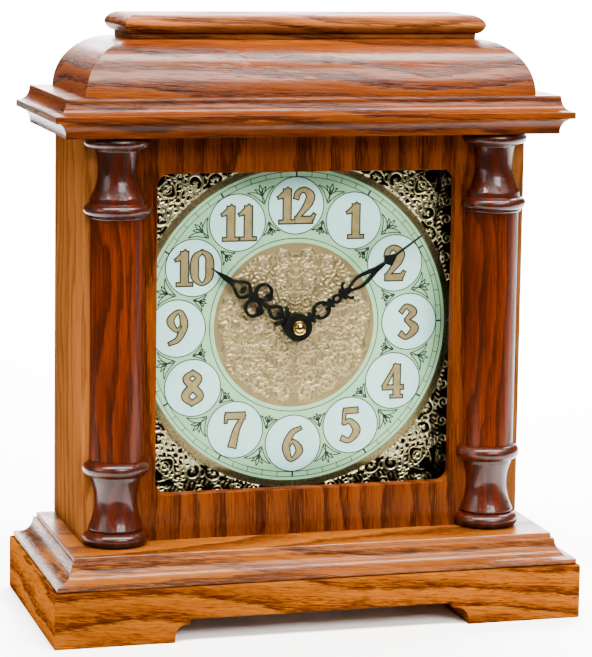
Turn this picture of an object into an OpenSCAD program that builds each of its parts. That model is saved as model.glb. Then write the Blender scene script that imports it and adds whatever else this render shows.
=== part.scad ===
// Mantel clock in oak: a moulded base, a case with two split-turned half columns on its
// face, a glazed dial with a quartz movement, and a rounded bonnet under a moulded cap.
// X runs to the right, Y to the back, Z up; the origin is under the middle of the base.

/* [Base] */
// Width of the plinth, the widest piece
base_w = 263.5; // [220:0.5:330]
// Depth of the plinth
base_d = 122; // [110:1:160]
// Height of the plinth
plinth_h = 26.5; // [18:0.5:40]
// Width of the cut-out between the feet, at the floor
foot_gap_w = 147; // [90:1:170]
// Height of the cut-out between the feet
foot_gap_h = 11.1; // [8:0.1:16]
// Radius of the cove at each foot's inner corner
foot_cove_r = 6.2; // [4:0.1:7]
// Thickness of the moulded base board
base_board_h = 14.3; // [12:0.1:24]

/* [Case] */
// Height of the case between its base and cornice boards
case_h = 197.6; // [180:0.2:250]
// How far the base stands out beyond each side of the case
base_side_reach = 20.75; // [15:0.25:30]
// How far the base stands out in front of the case
base_front_reach = 38; // [30:0.5:45]
// How far the base stands out behind the case
base_back_reach = 11; // [8:0.5:20]
// Thickness of a side panel
side_t = 10; // [8:0.5:12]
// Thickness of the front panel
front_t = 14; // [12:0.5:18]

/* [Top] */
// Height of the cornice board
cornice_h = 18.7; // [16:0.1:26]
// How far the cornice stands out beyond each side of the case
cornice_side_reach = 17.9; // [12:0.1:20]
// How far the cornice stands out in front of the case
cornice_front_reach = 23; // [20:0.5:30]
// How far the cornice stands out behind the case
cornice_back_reach = 10; // [6:0.5:14]
// Height of the rounded bonnet
bonnet_h = 26.4; // [20:0.2:34]
// How far the bonnet's ends step in from the cornice
bonnet_side_step = 16.5; // [14:0.5:20]
// How far the bonnet's front steps in from the cornice
bonnet_front_step = 12.5; // [8:0.5:16]
// How far the bonnet's back steps in from the cornice
bonnet_back_step = 9.5; // [6:0.5:14]
// How far the bonnet's rounded ends and back run in to its flat top
bonnet_run = 25.7; // [20:0.1:30]
// How far the bonnet's rounded front runs in to its flat top
bonnet_front_run = 18; // [14:0.5:28]
// Thickness of the spacer under the cap board
spacer_h = 2.5; // [1.5:0.1:4]
// Height of the cap board
cap_h = 9; // [7:0.5:12]
// How far the cap board stands out beyond the spacer
cap_reach = 4.2; // [3:0.1:6]

/* [Columns] */
// Radius of the turned rings on a column
ring_r = 16.4; // [14:0.1:17]
// Radius of a column's plain shaft
shaft_r = 13; // [10:0.1:14]
// Height of a column's turned foot
col_base_h = 41.5; // [36:0.5:50]
// Height of a column's turned capital
col_capital_h = 39.2; // [34:0.2:48]

/* [Dial] */
// Width of the opening in the front panel
window_w = 150; // [120:1:152]
// Height of the opening in the front panel
window_h = 156.3; // [120:0.1:158]
// Radius of the opening's corners
window_r = 6; // [3:0.5:10]
// Height of the opening's middle above the case floor
window_up = 100.7; // [96:0.1:104]
// Depth of the lip in front of the glass
lip_t = 5; // [3:0.5:7]
// Thickness of the glass
glass_t = 2; // [1.5:0.5:3]
// Width of the rabbet beyond the opening, on each side
rabbet = 12; // [8:0.5:12]
// Space between the glass and the dial
dial_gap = 15; // [14:0.5:18]
// Thickness of the dial plate
plate_t = 0.8; // [0.5:0.1:1.2]
// Thickness of the dial board
board_t = 3.5; // [3:0.5:5]

/* [Hands] */
// Length of the minute hand from its axis
minute_len = 77.2; // [60:0.1:78]
// Length of the hour hand from its axis
hour_len = 53.2; // [40:0.1:58]
// Radius of the minute hand's round hub
hub_r = 6.5; // [5:0.1:8]
// Thickness of a hand
hand_t = 0.5; // [0.3:0.1:0.8]

/* [Movement] */
// Width and height of the movement's case
mv_w = 56; // [56:1:62]
// Depth of the movement's case
mv_d = 16; // [16:0.5:18]
// Wall of the movement's case
mv_wall = 1.2; // [1:0.1:1.4]
// Radius of the threaded neck
neck_r = 4; // [3.5:0.1:5]
// Radius of the battery
cell_r = 7.25; // [7:0.05:7.25]
// Length of the battery
cell_len = 50.5; // [48:0.5:50.5]

/* [Back] */
// Thickness of the back frame and the door
back_t = 5; // [4:0.5:8]
// Width of the door
door_w = 118.4; // [90:0.4:130]
// Height of the door
door_h = 138.4; // [110:0.4:150]
// Gap round the door
door_gap = 0.8; // [0.5:0.1:1.5]
// Height of a hinge
hinge_h = 24; // [18:1:32]
// Outer radius of a hinge's barrel
barrel_r = 2; // [1.8:0.1:2.5]

/* [Hidden] */
$fn = 48;

// Colours
oak = "sienna";
oak_dark = "saddlebrown";
oak_light = "peru";

// Gaps: a running fit, a hole round a screw, and a loose fit
run = 0.05;
hole_gap = 0.05;
loose = 0.25;
// Extra reach of a cutting shape past the face it cuts
cut = 1;

// Heights of the stacked pieces
z_board = plinth_h;
z_case = z_board + base_board_h;
z_cornice = z_case + case_h;
z_bonnet = z_cornice + cornice_h;
z_spacer = z_bonnet + bonnet_h;
z_cap = z_spacer + spacer_h;

// Case outline
case_w = base_w - 2 * base_side_reach;
y_face = -base_d / 2 + base_front_reach;
y_back = base_d / 2 - base_back_reach;
case_d = y_back - y_face;
inner_w = case_w - 2 * side_t;

// Cornice, bonnet, spacer and cap outlines
cornice_w = case_w + 2 * cornice_side_reach;
cornice_d = case_d + cornice_front_reach + cornice_back_reach;
cornice_y = (y_face - cornice_front_reach + y_back + cornice_back_reach) / 2;
bonnet_w = cornice_w - 2 * bonnet_side_step;
bonnet_d = cornice_d - bonnet_front_step - bonnet_back_step;
bonnet_y = cornice_y + (bonnet_front_step - bonnet_back_step) / 2;
spacer_w = bonnet_w - 2 * bonnet_run;
spacer_d = bonnet_d - bonnet_front_run - bonnet_run;
spacer_y = bonnet_y + (bonnet_front_run - bonnet_run) / 2;
cap_w = spacer_w + 2 * cap_reach;
cap_d = spacer_d + 2 * cap_reach;

// Columns stand with their outer ring flush with the side of the case
col_x = case_w / 2 - ring_r + 0.15;
shaft_h = case_h - col_base_h - col_capital_h;

// Dial: its middle, and the depth of its surface behind the face
dial_drop = 0.5;
dial_z = z_case + window_up - dial_drop;
window_z = z_case + window_up;
y_glass = y_face + lip_t;
y_dial = y_glass + glass_t + dial_gap;
rabbet_w = window_w + 2 * rabbet;
rabbet_h = window_h + 2 * rabbet;
glass_w = rabbet_w - 2;
glass_h = rabbet_h - 2;
glazing_wall = 4;
board_w = inner_w - 8;
board_h = case_h - 6;
block_w = 9;
block_h = 24;
block_x = rabbet_w / 2 + (inner_w - rabbet_w) / 4 - 0.5;
block_z = rabbet_h / 2 - block_h / 2;
block_t = y_dial + plate_t - (y_face + front_t);

// Movement, in a frame with z towards the front and zero on the dial's surface
gasket_t = 0.8;
mv_front = -(plate_t + board_t + gasket_t);
mv_in = mv_front - mv_wall;
mv_back = mv_front - mv_d;
mv_in_back = mv_back + mv_wall;
neck_bore = 2.65;
neck_top = 2.6;
bay_top = -mv_w / 2 + mv_wall + 2 * cell_r + 0.2;
cell_y = -mv_w / 2 + mv_wall + cell_r + 0.1;
cell_z = mv_in - 0.2 - cell_r;
pivot = 0.7;
arbor_r = 0.4;
stud_r = 0.6;

// Hands and their tubes
hour_tube_r = neck_bore - run;
pipe_r = 1.8;
second_r = 0.5;
hour_z = 5;
minute_z = 7.6;
cap_top = 12.3;
hour_turn = 304.5;
minute_turn = 55;

// Wheels: planes counted from the front, teeth and modules; slim teeth give backlash
wheel_t = 0.8;
slim = 0.7;
plane_a = mv_in - 1.3;
plane_b = plane_a - 1.6;
plane_c = plane_b - 1.6;
plane_d = plane_c - 1.6;
plane_e = plane_d - 1.6;
plane_f = plane_e - 1.6;
m_motion = 0.3125;
m_hour = 0.3;
m_centre = 0.25;
m_second = m_centre * (8 + 64) / (8 + 60);
m_step = 0.24;
motion_gap = m_motion * (12 + 36) / 2;
train_gap = m_centre * (8 + 64) / 2;
step_gap = m_step * (60 + 15) / 2;
rotor_gap = m_step * (60 + 8) / 2;
minute_dir = 135;
knob_dir = 160;
third_dir = 60;
step_dir = -10;
rotor_dir = 20;
minute_at = polar(motion_gap, minute_dir);
knob_at = minute_at + polar(motion_gap, knob_dir);
third_at = polar(train_gap, third_dir);
step_at = polar(step_gap, step_dir);
rotor_at = step_at + polar(rotor_gap, rotor_dir);

// Phases that put each pair in mesh at rest
minute_phase = mesh(minute_dir, 12, 0, 36);
hour_phase = mesh(minute_dir + 180, 10, 0, 40);
knob_phase = mesh(knob_dir, 36, minute_phase, 12);
third_phase = mesh(third_dir, 8, 0, 60);
centre_phase = mesh(third_dir + 180, 8, 0, 64);
step_phase = mesh(step_dir, 60, 0, 15);
rotor_phase = mesh(rotor_dir, 60, 0, 8);

// Back: door, hinges and screws
y_back_in = y_back - back_t;
rebate = 5;
back_w = inner_w + 2 * rebate - 0.4;
door_z = dial_z;
hinge_x = -door_w / 2 - door_gap / 2;
hinge_y = y_back + barrel_r + 0.3;
hinge_up = 45;
leaf_t = 1.2;
leaf_w = 14;
pin_r = 1;
knuckle = hinge_h / 3;
screw_r = 1;
magnet_h = 14;
knob_x = door_w / 2 - 8;

// Wood screws that hold the base and the top
wood_screw_r = 2;
wood_head_r = 4;
wood_head_t = 3;
wood_grip = 25;
wood_x = case_w / 2 - side_t / 2;
wood_y = [y_face + 18, y_back - 15];

// Screws of the back frame: their place across, their heights and the size of a small head
frame_screw_x = inner_w / 2 + rebate / 2;
frame_screw_z = [z_case + wood_grip + 12, z_case + case_h / 2, z_cornice - wood_grip - 12];
small_head_r = 2.2;
small_head_t = 1;
// Thin metal parts: dial screws, strike plate, washer, setting arbor and battery contacts
dial_screw_len = 12;
strike_t = 0.8;
strike_w = 9;
washer_t = 0.5;
knob_arbor_r = 1.2;
contact_t = 0.4;
// Motor: the stator's height, place and size, the width of its legs, and the coil's place
stator_z = plane_f - 1.3;
stator_t = 0.8;
stator_x = 10;
stator_w = mv_w / 2 - mv_wall - 0.8 - stator_x;
leg_w = 3.5;
coil_y = mv_w / 2 - mv_wall - 4;

function polar(r, a) = [r * cos(a), r * sin(a)];

// Phase of a wheel with n2 teeth that meshes, in direction th, with one of n1 teeth
function mesh(th, n1, ph1, n2) = th + 180 - (0.5 - (th - ph1) * n1 / 360) * 360 / n2;

// Involute function in degrees, and a tooth's half angle at radius r
function inv(a) = tan(a) * 180 / PI - a;
function half_tooth(r, rp, rb, t0) = t0 + inv(acos(rb / rp)) - inv(acos(min(1, rb / r)));

// Outline of a board between two profiles of [inset, height] points, half a width apart
function both(prof, low, half) = concat([for (p = prof) [half - p[0], p[1]]],
    [for (i = [len(low) - 1:-1:0]) [low[i][0] - half, low[i][1]]]);

// An arc of n steps with its ends at p and q: tangent level at p, upright at q
function cove(p, q, n = 10) = [for (i = [0:n]) let (a = 90 * i / n)
    [p[0] + (q[0] - p[0]) * sin(a), q[1] - (q[1] - p[1]) * cos(a)]];
function cove_up(p, q, n = 10) = [for (i = [0:n]) let (a = 90 * i / n)
    [q[0] + (p[0] - q[0]) * cos(a), p[1] + (q[1] - p[1]) * sin(a)]];

// Outline of a straight cut gear
module gear_outline(teeth, m, phase) {
    rp = m * teeth / 2;
    rb = rp * cos(22);
    rr = rp - 1.15 * m;
    ra = rp + 0.8 * m;
    t0 = 90 / teeth * slim;
    rs = [rr, rp, ra];
    left = [for (r = rs) [r, -half_tooth(r, rp, rb, t0)]];
    right = [for (i = [len(rs) - 1:-1:0]) [rs[i], half_tooth(rs[i], rp, rb, t0)]];
    polygon([for (i = [0:teeth - 1]) for (p = concat(left, right))
        polar(p[0], phase + 360 * i / teeth + p[1])]);
}

// A gear whose rear face is at z
module gear(teeth, m, phase, z, t = wheel_t) {
    translate([0, 0, z]) linear_extrude(t) gear_outline(teeth, m, phase);
}

// A pinion as long as its mate's plane, with a little over at each end
module pinion(teeth, m, phase, z, extra = 0.2) {
    gear(teeth, m, phase, z - extra, wheel_t + 2 * extra);
}

// A cylinder of radius r between two heights
module rod(r, z0, z1) {
    translate([0, 0, z0]) cylinder(r = r, h = z1 - z0);
}

// Puts the movement's frame on the dial
module on_dial() {
    translate([0, y_dial, dial_z]) rotate([90, 0, 0]) children();
}

// Turns a hand clockwise from twelve
module clock_turn(a) {
    rotate([0, 0, -a]) children();
}

// A board with one moulding on its ends and back, and another on its front
module moulded(w, d, prof, front) {
    intersection() {
        rotate([90, 0, 0]) linear_extrude(d + 2 * cut, center = true) polygon(both(prof, prof, w / 2));
        rotate([90, 0, 90]) linear_extrude(w + 2 * cut, center = true) polygon(both(prof, front, d / 2));
    }
}

// The front half of a turned piece
module half_turned(prof) {
    intersection() {
        rotate_extrude($fn = 96) polygon(concat([[0, 0]], prof, [[0, prof[len(prof) - 1][1]]]));
        translate([-ring_r - 1, -ring_r - 1, -cut])
            cube([2 * ring_r + 2, ring_r + 1, case_h + 2 * cut]);
    }
}

// A rectangle with round corners, centred
module round_rect(w, h, r) {
    square([w - 2 * r, h], center = true);
    square([w, h - 2 * r], center = true);
    for (x = [-1, 1], y = [-1, 1]) translate([x * (w / 2 - r), y * (h / 2 - r)]) circle(r);
}

// A board that stands upright, its front face at y
module upright(y, t) {
    translate([0, y + t, 0]) rotate([90, 0, 0]) linear_extrude(t) children();
}

// A screw along +Y with its head at the back, its underside at y
module back_screw(x, y, z, r, head_r, head_t, len) {
    translate([x, y, z]) rotate([90, 0, 0]) {
        cylinder(r = r, h = len);
        translate([0, 0, -head_t]) cylinder(r = head_r, h = head_t);
    }
}

module plinth() {
    half = foot_gap_w / 2;
    step = 1.1;
    ledge = half - foot_cove_r;
    low = foot_gap_h - 2.4 - foot_cove_r;
    cut_out = concat([[half, -cut], [half, low]],
        [for (i = [0:10]) let (a = 9 * i)
            [ledge + foot_cove_r * cos(a), low + foot_cove_r * sin(a)]],
        [[ledge - step, foot_gap_h - 2.4], [ledge - step, foot_gap_h]]);
    color(oak) difference() {
        translate([-base_w / 2, -base_d / 2, 0]) cube([base_w, base_d, plinth_h]);
        rotate([90, 0, 0]) linear_extrude(base_d + 2 * cut, center = true)
            polygon(concat(cut_out, [for (i = [len(cut_out) - 1:-1:0]) [-cut_out[i][0], cut_out[i][1]]]));
        for (x = [-wood_x, wood_x], y = wood_y) translate([x, y, 0]) {
            rod(wood_screw_r + hole_gap, -cut, plinth_h + cut);
            rod(wood_head_r + loose, -cut, plinth_h / 2);
        }
    }
}

module base_board() {
    edge = 1.65;
    prof = concat([[edge + 0.6, 0], [edge, 0.7], [edge, 2.8]],
        cove([edge + 0.5, 2.8], [edge + 8.5, base_board_h - 2.6]),
        [[edge + 10, base_board_h - 2.4], [edge + 10, base_board_h - 0.4], [edge + 10.4, base_board_h]]);
    color(oak) translate([0, 0, z_board]) difference() {
        moulded(base_w, base_d, prof, prof);
        for (x = [-wood_x, wood_x], y = wood_y) translate([x, y, 0])
            rod(wood_screw_r + hole_gap, -cut, base_board_h + cut);
    }
}

// One side panel; s is -1 for the left and 1 for the right
module side_panel(s) {
    difference() {
        translate([s * (case_w / 2 - side_t / 2), (y_face + y_back) / 2, z_case + case_h / 2])
            cube([side_t, case_d, case_h], center = true);
        translate([s * (inner_w + rebate - cut) / 2, y_back - (back_t - cut) / 2, z_case + case_h / 2])
            cube([rebate + cut, back_t + cut, case_h + 2 * cut], center = true);
        for (y = wood_y) translate([s * wood_x, y, 0]) {
            rod(wood_screw_r + hole_gap, z_case - cut, z_case + wood_grip + cut);
            rod(wood_screw_r + hole_gap, z_cornice - wood_grip - cut, z_cornice + cut);
        }
        for (z = frame_screw_z) back_screw(s * frame_screw_x, y_back_in, z, screw_r + hole_gap, 1, cut, 11);
    }
}

module side_panel_left() { color(oak) side_panel(-1); }
module side_panel_right() { color(oak) side_panel(1); }

module front_panel() {
    color(oak) difference() {
        upright(y_face, front_t) translate([-inner_w / 2, z_case]) square([inner_w, case_h]);
        upright(y_face - cut, front_t + 2 * cut) translate([0, window_z])
            round_rect(window_w, window_h, window_r);
        upright(y_glass, front_t) translate([0, window_z])
            square([rabbet_w, rabbet_h], center = true);
        dial_screw_holes();
    }
}

module cornice_board() {
    reach = 5.9;
    prof = concat([[reach, 0]], cove_up([reach, 1], [0.3, 7.7]), [[0, 7.7], [0, 11]],
        cove([0.6, 11], [reach - 0.3, cornice_h - 1]), [[reach, cornice_h]]);
    color(oak) difference() {
        translate([0, cornice_y, z_cornice]) moulded(cornice_w, cornice_d, prof, prof);
        for (x = [-wood_x, wood_x], y = wood_y) translate([x, y, z_cornice]) {
            rod(wood_screw_r + hole_gap, -cut, cornice_h + cut);
            rod(wood_head_r + loose, cornice_h - wood_head_t, cornice_h + cut);
        }
    }
}

// Quarter round of a given run; the last step stops at the flat top
function quarter(run_in, h, n = 16) = [for (i = [0:n]) let (a = 90 * i / n)
    [run_in * (1 - cos(a)), h * sin(a)]];

module bonnet() {
    color(oak) translate([0, bonnet_y, z_bonnet])
        moulded(bonnet_w, bonnet_d, quarter(bonnet_run, bonnet_h), quarter(bonnet_front_run, bonnet_h));
}

module bonnet_spacer() {
    color(oak_dark) translate([0, spacer_y, z_spacer + spacer_h / 2])
        cube([spacer_w, spacer_d, spacer_h], center = true);
}

module cap_board() {
    arris = 4;
    rise = cap_h - arris;
    prof = concat([for (i = [0:6]) let (a = 10 * i)
            [cap_reach * (1 - sin(a) / sin(60)), arris * (1 - cos(a)) / (1 - cos(60))]],
        [for (i = [1:6]) let (a = 10 * i)
            [(cap_reach + 0.5) * (1 - cos(a)) / (1 - cos(60)), arris + rise * sin(a) / sin(60)]]);
    color(oak) translate([0, spacer_y, z_cap]) moulded(cap_w, cap_d, prof, prof);
}

// A round ring of a turned piece: radius r at its middle, from z0 to z1
function bead(r, z0, z1, n = 8) = [for (i = [0:n]) let (a = -90 + 180 * i / n, h = (z1 - z0) / 2)
    [r - h + h * cos(a), (z0 + z1) / 2 + h * sin(a)]];

// A waisted neck from radius r0 at z0 through rw at zw to r1 at z1
function waist(r0, z0, rw, zw, r1, z1, n = 6) = concat(
    [for (i = [0:n]) let (z = z0 + (zw - z0) * i / n) [rw + (r0 - rw) * pow((zw - z) / (zw - z0), 2), z]],
    [for (i = [1:n]) let (z = zw + (z1 - zw) * i / n) [rw + (r1 - rw) * pow((z - zw) / (z1 - zw), 2), z]]);

module column_capital(s) {
    h = col_capital_h;
    prof = concat([[shaft_r + 1, 0], [shaft_r + 1, 1.2]], bead(ring_r, 1.2, 7.2),
        waist(shaft_r + 0.3, 9.8, 9.5, h * 0.58, 10.6, h - 6.8), bead(ring_r - 0.15, h - 5.6, h));
    translate([s * col_x, y_face, z_cornice - h]) half_turned(prof);
}

module column_shaft(s) {
    translate([s * col_x, y_face, z_case + col_base_h]) half_turned([[shaft_r, 0], [shaft_r, shaft_h]]);
}

module column_base(s) {
    h = col_base_h;
    prof = concat(bead(ring_r, 0, 7), waist(13.7, 8.2, 10.5, h * 0.53, 12.4, h - 9.4),
        bead(ring_r - 0.1, h - 7.7, h));
    translate([s * col_x, y_face, z_case]) half_turned(prof);
}

module column_capital_left() { color(oak_dark) column_capital(-1); }
module column_capital_right() { color(oak_dark) column_capital(1); }
module column_shaft_left() { color(oak_light) column_shaft(-1); }
module column_shaft_right() { color(oak_light) column_shaft(1); }
module column_base_left() { color(oak_dark) column_base(-1); }
module column_base_right() { color(oak_dark) column_base(1); }

module glass_pane() {
    color("lightcyan", 0.3) upright(y_glass, glass_t) translate([0, window_z])
        square([glass_w, glass_h], center = true);
}

module glazing_frame() {
    color("black") upright(y_glass + glass_t, dial_gap) translate([0, window_z]) difference() {
        square([glass_w, glass_h], center = true);
        square([glass_w - 2 * glazing_wall, glass_h - 2 * glazing_wall], center = true);
    }
}

module dial_plate() {
    color("khaki") difference() {
        upright(y_dial, plate_t) translate([0, window_z]) square([glass_w, glass_h], center = true);
        on_dial() rod(neck_r + hole_gap, -plate_t - cut, cut);
    }
}

module dial_board() {
    color("burlywood") difference() {
        upright(y_dial + plate_t, board_t) translate([0, z_case + case_h / 2])
            square([board_w, board_h], center = true);
        on_dial() rod(neck_r + hole_gap, -plate_t - board_t - cut, cut);
        dial_screw_holes();
    }
}

module dial_blocks() {
    color(oak_light) difference() {
        for (x = [-1, 1], z = [-1, 1])
            translate([x * block_x, y_face + front_t + block_t / 2, window_z + z * block_z])
                cube([block_w, block_t, block_h], center = true);
        dial_screw_holes();
    }
}

module dial_screws() {
    color("silver") for (x = [-1, 1], z = [-1, 1])
        back_screw(x * block_x, y_dial + plate_t + board_t, window_z + z * block_z,
            screw_r, 2.4, 1.2, dial_screw_len);
}

module dial_screw_holes() {
    for (x = [-1, 1], z = [-1, 1])
        back_screw(x * block_x, y_dial + plate_t + board_t, window_z + z * block_z,
            screw_r + hole_gap, 1, cut, dial_screw_len + cut);
}

module base_screws() {
    color("silver") for (x = [-wood_x, wood_x], y = wood_y) translate([x, y, 0]) {
        rod(wood_screw_r, plinth_h / 2, z_case + wood_grip);
        rod(wood_head_r, plinth_h / 2 - wood_head_t, plinth_h / 2);
    }
}

module top_screws() {
    color("silver") for (x = [-wood_x, wood_x], y = wood_y) translate([x, y, 0]) {
        rod(wood_screw_r, z_cornice - wood_grip, z_bonnet - wood_head_t);
        rod(wood_head_r, z_bonnet - wood_head_t, z_bonnet);
    }
}

module back_frame() {
    color(oak_dark) difference() {
        upright(y_back_in, back_t) {
            difference() {
                translate([-back_w / 2, z_case]) square([back_w, case_h]);
                translate([0, door_z]) square([door_w + 2 * door_gap, door_h + 2 * door_gap], center = true);
            }
        }
        for (x = [-1, 1], z = frame_screw_z)
            back_screw(x * frame_screw_x, y_back + cut, z, screw_r + hole_gap, 1, cut, back_t + 3);
        hinge_screw_holes(-1);
    }
}

module back_frame_screws() {
    color("silver") for (x = [-1, 1], z = frame_screw_z)
        back_screw(x * frame_screw_x, y_back, z, screw_r, small_head_r, small_head_t, back_t + 10);
}

module back_door() {
    color(oak_dark) difference() {
        upright(y_back_in, back_t) translate([0, door_z]) square([door_w, door_h], center = true);
        hinge_screw_holes(1);
        translate([knob_x, y_back + cut, door_z]) rotate([90, 0, 0])
            cylinder(r = 2 + hole_gap, h = back_t - 1 + cut);
    }
}

module door_knob() {
    color("goldenrod") translate([knob_x, y_back, door_z]) rotate([-90, 0, 0])
        rotate_extrude($fn = 48) polygon([[0, 1 - back_t], [2, 1 - back_t], [2, 0], [4, 0], [3, 1.5],
            [2.4, 3.5], [3.4, 5], [4.6, 6.5], [4.8, 8], [4.2, 9.3], [2.6, 10], [0, 10.2]]);
}

// One leaf of each hinge: s is -1 for the frame's leaf and 1 for the door's
module hinge_leaf(s) {
    spans = s < 0 ? [[-1.5, -0.5], [0.5, 1.5]] : [[-0.5, 0.5]];
    slack = 0.15;
    bore = s < 0 ? pin_r : pin_r + run;
    for (up = [-1, 1]) translate([hinge_x, 0, door_z + up * hinge_up]) difference() {
        union() {
            translate([s < 0 ? -leaf_w : barrel_r + 0.4, y_back, -hinge_h / 2])
                cube([leaf_w - barrel_r - 0.4, leaf_t, hinge_h]);
            for (k = spans) translate([0, 0, k[0] * knuckle + slack]) {
                translate([0, hinge_y, 0]) cylinder(r = barrel_r, h = (k[1] - k[0]) * knuckle - 2 * slack);
                translate([s < 0 ? -barrel_r - 0.5 : 0, y_back + 0.3, 0])
                    cube([barrel_r + 0.5, leaf_t - 0.3, (k[1] - k[0]) * knuckle - 2 * slack]);
            }
        }
        translate([0, hinge_y, -hinge_h]) cylinder(r = bore, h = 2 * hinge_h);
        for (z = [-1, 1]) translate([s * leaf_w * 0.6, y_back + leaf_t + cut, z * hinge_h * 0.3])
            rotate([90, 0, 0]) cylinder(r = screw_r + hole_gap, h = leaf_t + 2 * cut);
    }
}

module hinge_frame_leaves() { color("goldenrod") hinge_leaf(-1); }
module hinge_door_leaves() { color("gold") hinge_leaf(1); }

module hinge_pins() {
    color("darkgoldenrod") for (up = [-1, 1])
        translate([hinge_x, hinge_y, door_z + up * hinge_up - hinge_h / 2]) {
            cylinder(r = pin_r, h = hinge_h);
            translate([0, 0, hinge_h]) cylinder(r = pin_r + 0.7, h = 1);
        }
}

module hinge_screws(s) {
    for (up = [-1, 1], z = [-1, 1])
        back_screw(hinge_x + s * leaf_w * 0.6, y_back + leaf_t, door_z + up * hinge_up + z * hinge_h * 0.3,
            screw_r, 1.9, 0.8, leaf_t + back_t - 1);
}

module hinge_screw_holes(s) {
    for (up = [-1, 1], z = [-1, 1])
        back_screw(hinge_x + s * leaf_w * 0.6, y_back + cut, door_z + up * hinge_up + z * hinge_h * 0.3,
            screw_r + hole_gap, 1, cut, back_t - 1 + cut);
}

module hinge_screws_frame() { color("goldenrod") hinge_screws(-1); }
module hinge_screws_door() { color("goldenrod") hinge_screws(1); }

module strike_plate() {
    color("silver") translate([door_w / 2 - strike_w - 1, y_back_in - strike_t, door_z - 45 - magnet_h / 2])
        cube([strike_w, strike_t, magnet_h]);
}

module door_magnet() {
    reach = strike_w + 1 + door_gap;
    color("dimgray") translate([door_w / 2 + door_gap, 0, door_z - 45 - magnet_h / 2]) union() {
        translate([0.5, y_back_in - 8, 0]) cube([12, 8, magnet_h]);
        translate([-reach, y_back_in - 8, 0]) cube([reach + 1, 8 - strike_t, magnet_h]);
    }
}

module movement_front_case() {
    color("dimgray") on_dial() difference() {
        union() {
            difference() {
                translate([-mv_w / 2, -mv_w / 2, mv_in_back]) cube([mv_w, mv_w, mv_front - mv_in_back]);
                translate([-mv_w / 2 + mv_wall, bay_top + mv_wall, mv_in_back - cut])
                    cube([mv_w - 2 * mv_wall, mv_w / 2 - 2 * mv_wall - bay_top, mv_in - mv_in_back + cut]);
                translate([-mv_w / 2 + mv_wall, -mv_w / 2 + mv_wall, mv_in_back - cut])
                    cube([mv_w - 2 * mv_wall, bay_top + mv_w / 2 - mv_wall, mv_in - mv_in_back + cut]);
            }
            rod(neck_r, mv_front, neck_top);
            translate([minute_at[0], minute_at[1], 0]) rod(stud_r, plane_b - 0.4, mv_front);
        }
        rod(neck_bore, mv_in - cut, neck_top + cut);
        for (p = [third_at, step_at, rotor_at]) translate([p[0], p[1], 0])
            rod(arbor_r + run, mv_in - cut, mv_in + pivot);
    }
}

module movement_rear_case() {
    color("dimgray") on_dial() difference() {
        translate([-mv_w / 2, bay_top, mv_back]) cube([mv_w, mv_w / 2 - bay_top, mv_wall]);
        for (p = [third_at, step_at, rotor_at]) translate([p[0], p[1], 0])
            rod(arbor_r + run, mv_in_back - pivot, mv_in_back + cut);
        rod(second_r + run, mv_in_back - pivot, mv_in_back + cut);
        translate([knob_at[0], knob_at[1], 0]) rod(knob_arbor_r + run, mv_back - cut, mv_in_back + cut);
    }
}

module movement_gasket() {
    color("black") on_dial() difference() {
        rod(12, mv_front, mv_front + gasket_t);
        rod(neck_r + hole_gap, mv_front - cut, mv_front + gasket_t + cut);
    }
}

module movement_washer() {
    color("gold") on_dial() difference() {
        rod(7, 0, washer_t);
        rod(neck_r + hole_gap, -cut, washer_t + cut);
    }
}

module movement_nut() {
    color("gold") on_dial() difference() {
        translate([0, 0, washer_t]) cylinder(r = 6, h = 1.8, $fn = 6);
        rod(neck_r + hole_gap, 0, 3);
    }
}

// Outline of a hand along +Y: a stem that carries round lobes, then a slim point
module hand_outline(len, hub, lobes, lobe_r) {
    circle(hub);
    polygon([[-1.3, 0], [1.3, 0], [0.9, len * 0.72], [0, len], [-0.9, len * 0.72]]);
    for (p = lobes) translate([0, p * len]) difference() {
        circle(lobe_r);
        circle(lobe_r - 1.2);
    }
}

module hour_hand() {
    color("black") on_dial() clock_turn(hour_turn) difference() {
        union() {
            translate([0, 0, hour_z]) linear_extrude(hand_t)
                hand_outline(hour_len, 5.5, [0.3, 0.55], 4.6);
            rod(3.6, hour_z - 1.8, hour_z + hand_t);
        }
        rod(hour_tube_r, 0, hour_z + 1);
    }
}

module minute_hand() {
    color("black") on_dial() clock_turn(minute_turn) difference() {
        union() {
            translate([0, 0, minute_z]) linear_extrude(hand_t)
                hand_outline(minute_len, hub_r, [0.3, 0.46], 4.2);
            rod(2.5, minute_z - 1.3, minute_z + hand_t);
        }
        rod(pipe_r, 0, minute_z + 1);
    }
}

module hand_nut() {
    low = minute_z + hand_t;
    rise = cap_top - low - 1.2;
    color("gold") on_dial() difference() {
        translate([0, 0, low]) rotate_extrude($fn = 48) polygon(concat([[0, 0], [3.6, 0], [3.6, 1.2]],
            [for (i = [0:8]) [3.1 * cos(11.25 * i), 1.2 + rise * sin(11.25 * i)]]));
        rod(pipe_r, low - cut, low + 2);
    }
}

module minute_pipe() {
    color("gold") on_dial() difference() {
        union() {
            rod(pipe_r, plane_b + wheel_t + 0.2, minute_z + hand_t + 1.9);
            pinion(12, m_motion, 0, plane_b);
            rod(1.2, plane_c - 0.2, plane_b);
        }
        rod(second_r + run, plane_c - cut, minute_z + 3);
    }
}

module hour_wheel() {
    color("ivory") on_dial() difference() {
        union() {
            gear(40, m_hour, hour_phase, plane_a);
            rod(hour_tube_r, plane_a, hour_z + hand_t + 0.4);
        }
        rod(pipe_r + run, plane_a - cut, hour_z + 2);
    }
}

module minute_wheel() {
    color("ivory") on_dial() translate([minute_at[0], minute_at[1], 0]) difference() {
        union() {
            gear(36, m_motion, minute_phase, plane_b);
            gear(10, m_hour, 0, plane_b + wheel_t, plane_a - plane_b + 0.2);
        }
        rod(stud_r + run, plane_b - cut, mv_in);
    }
}

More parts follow.
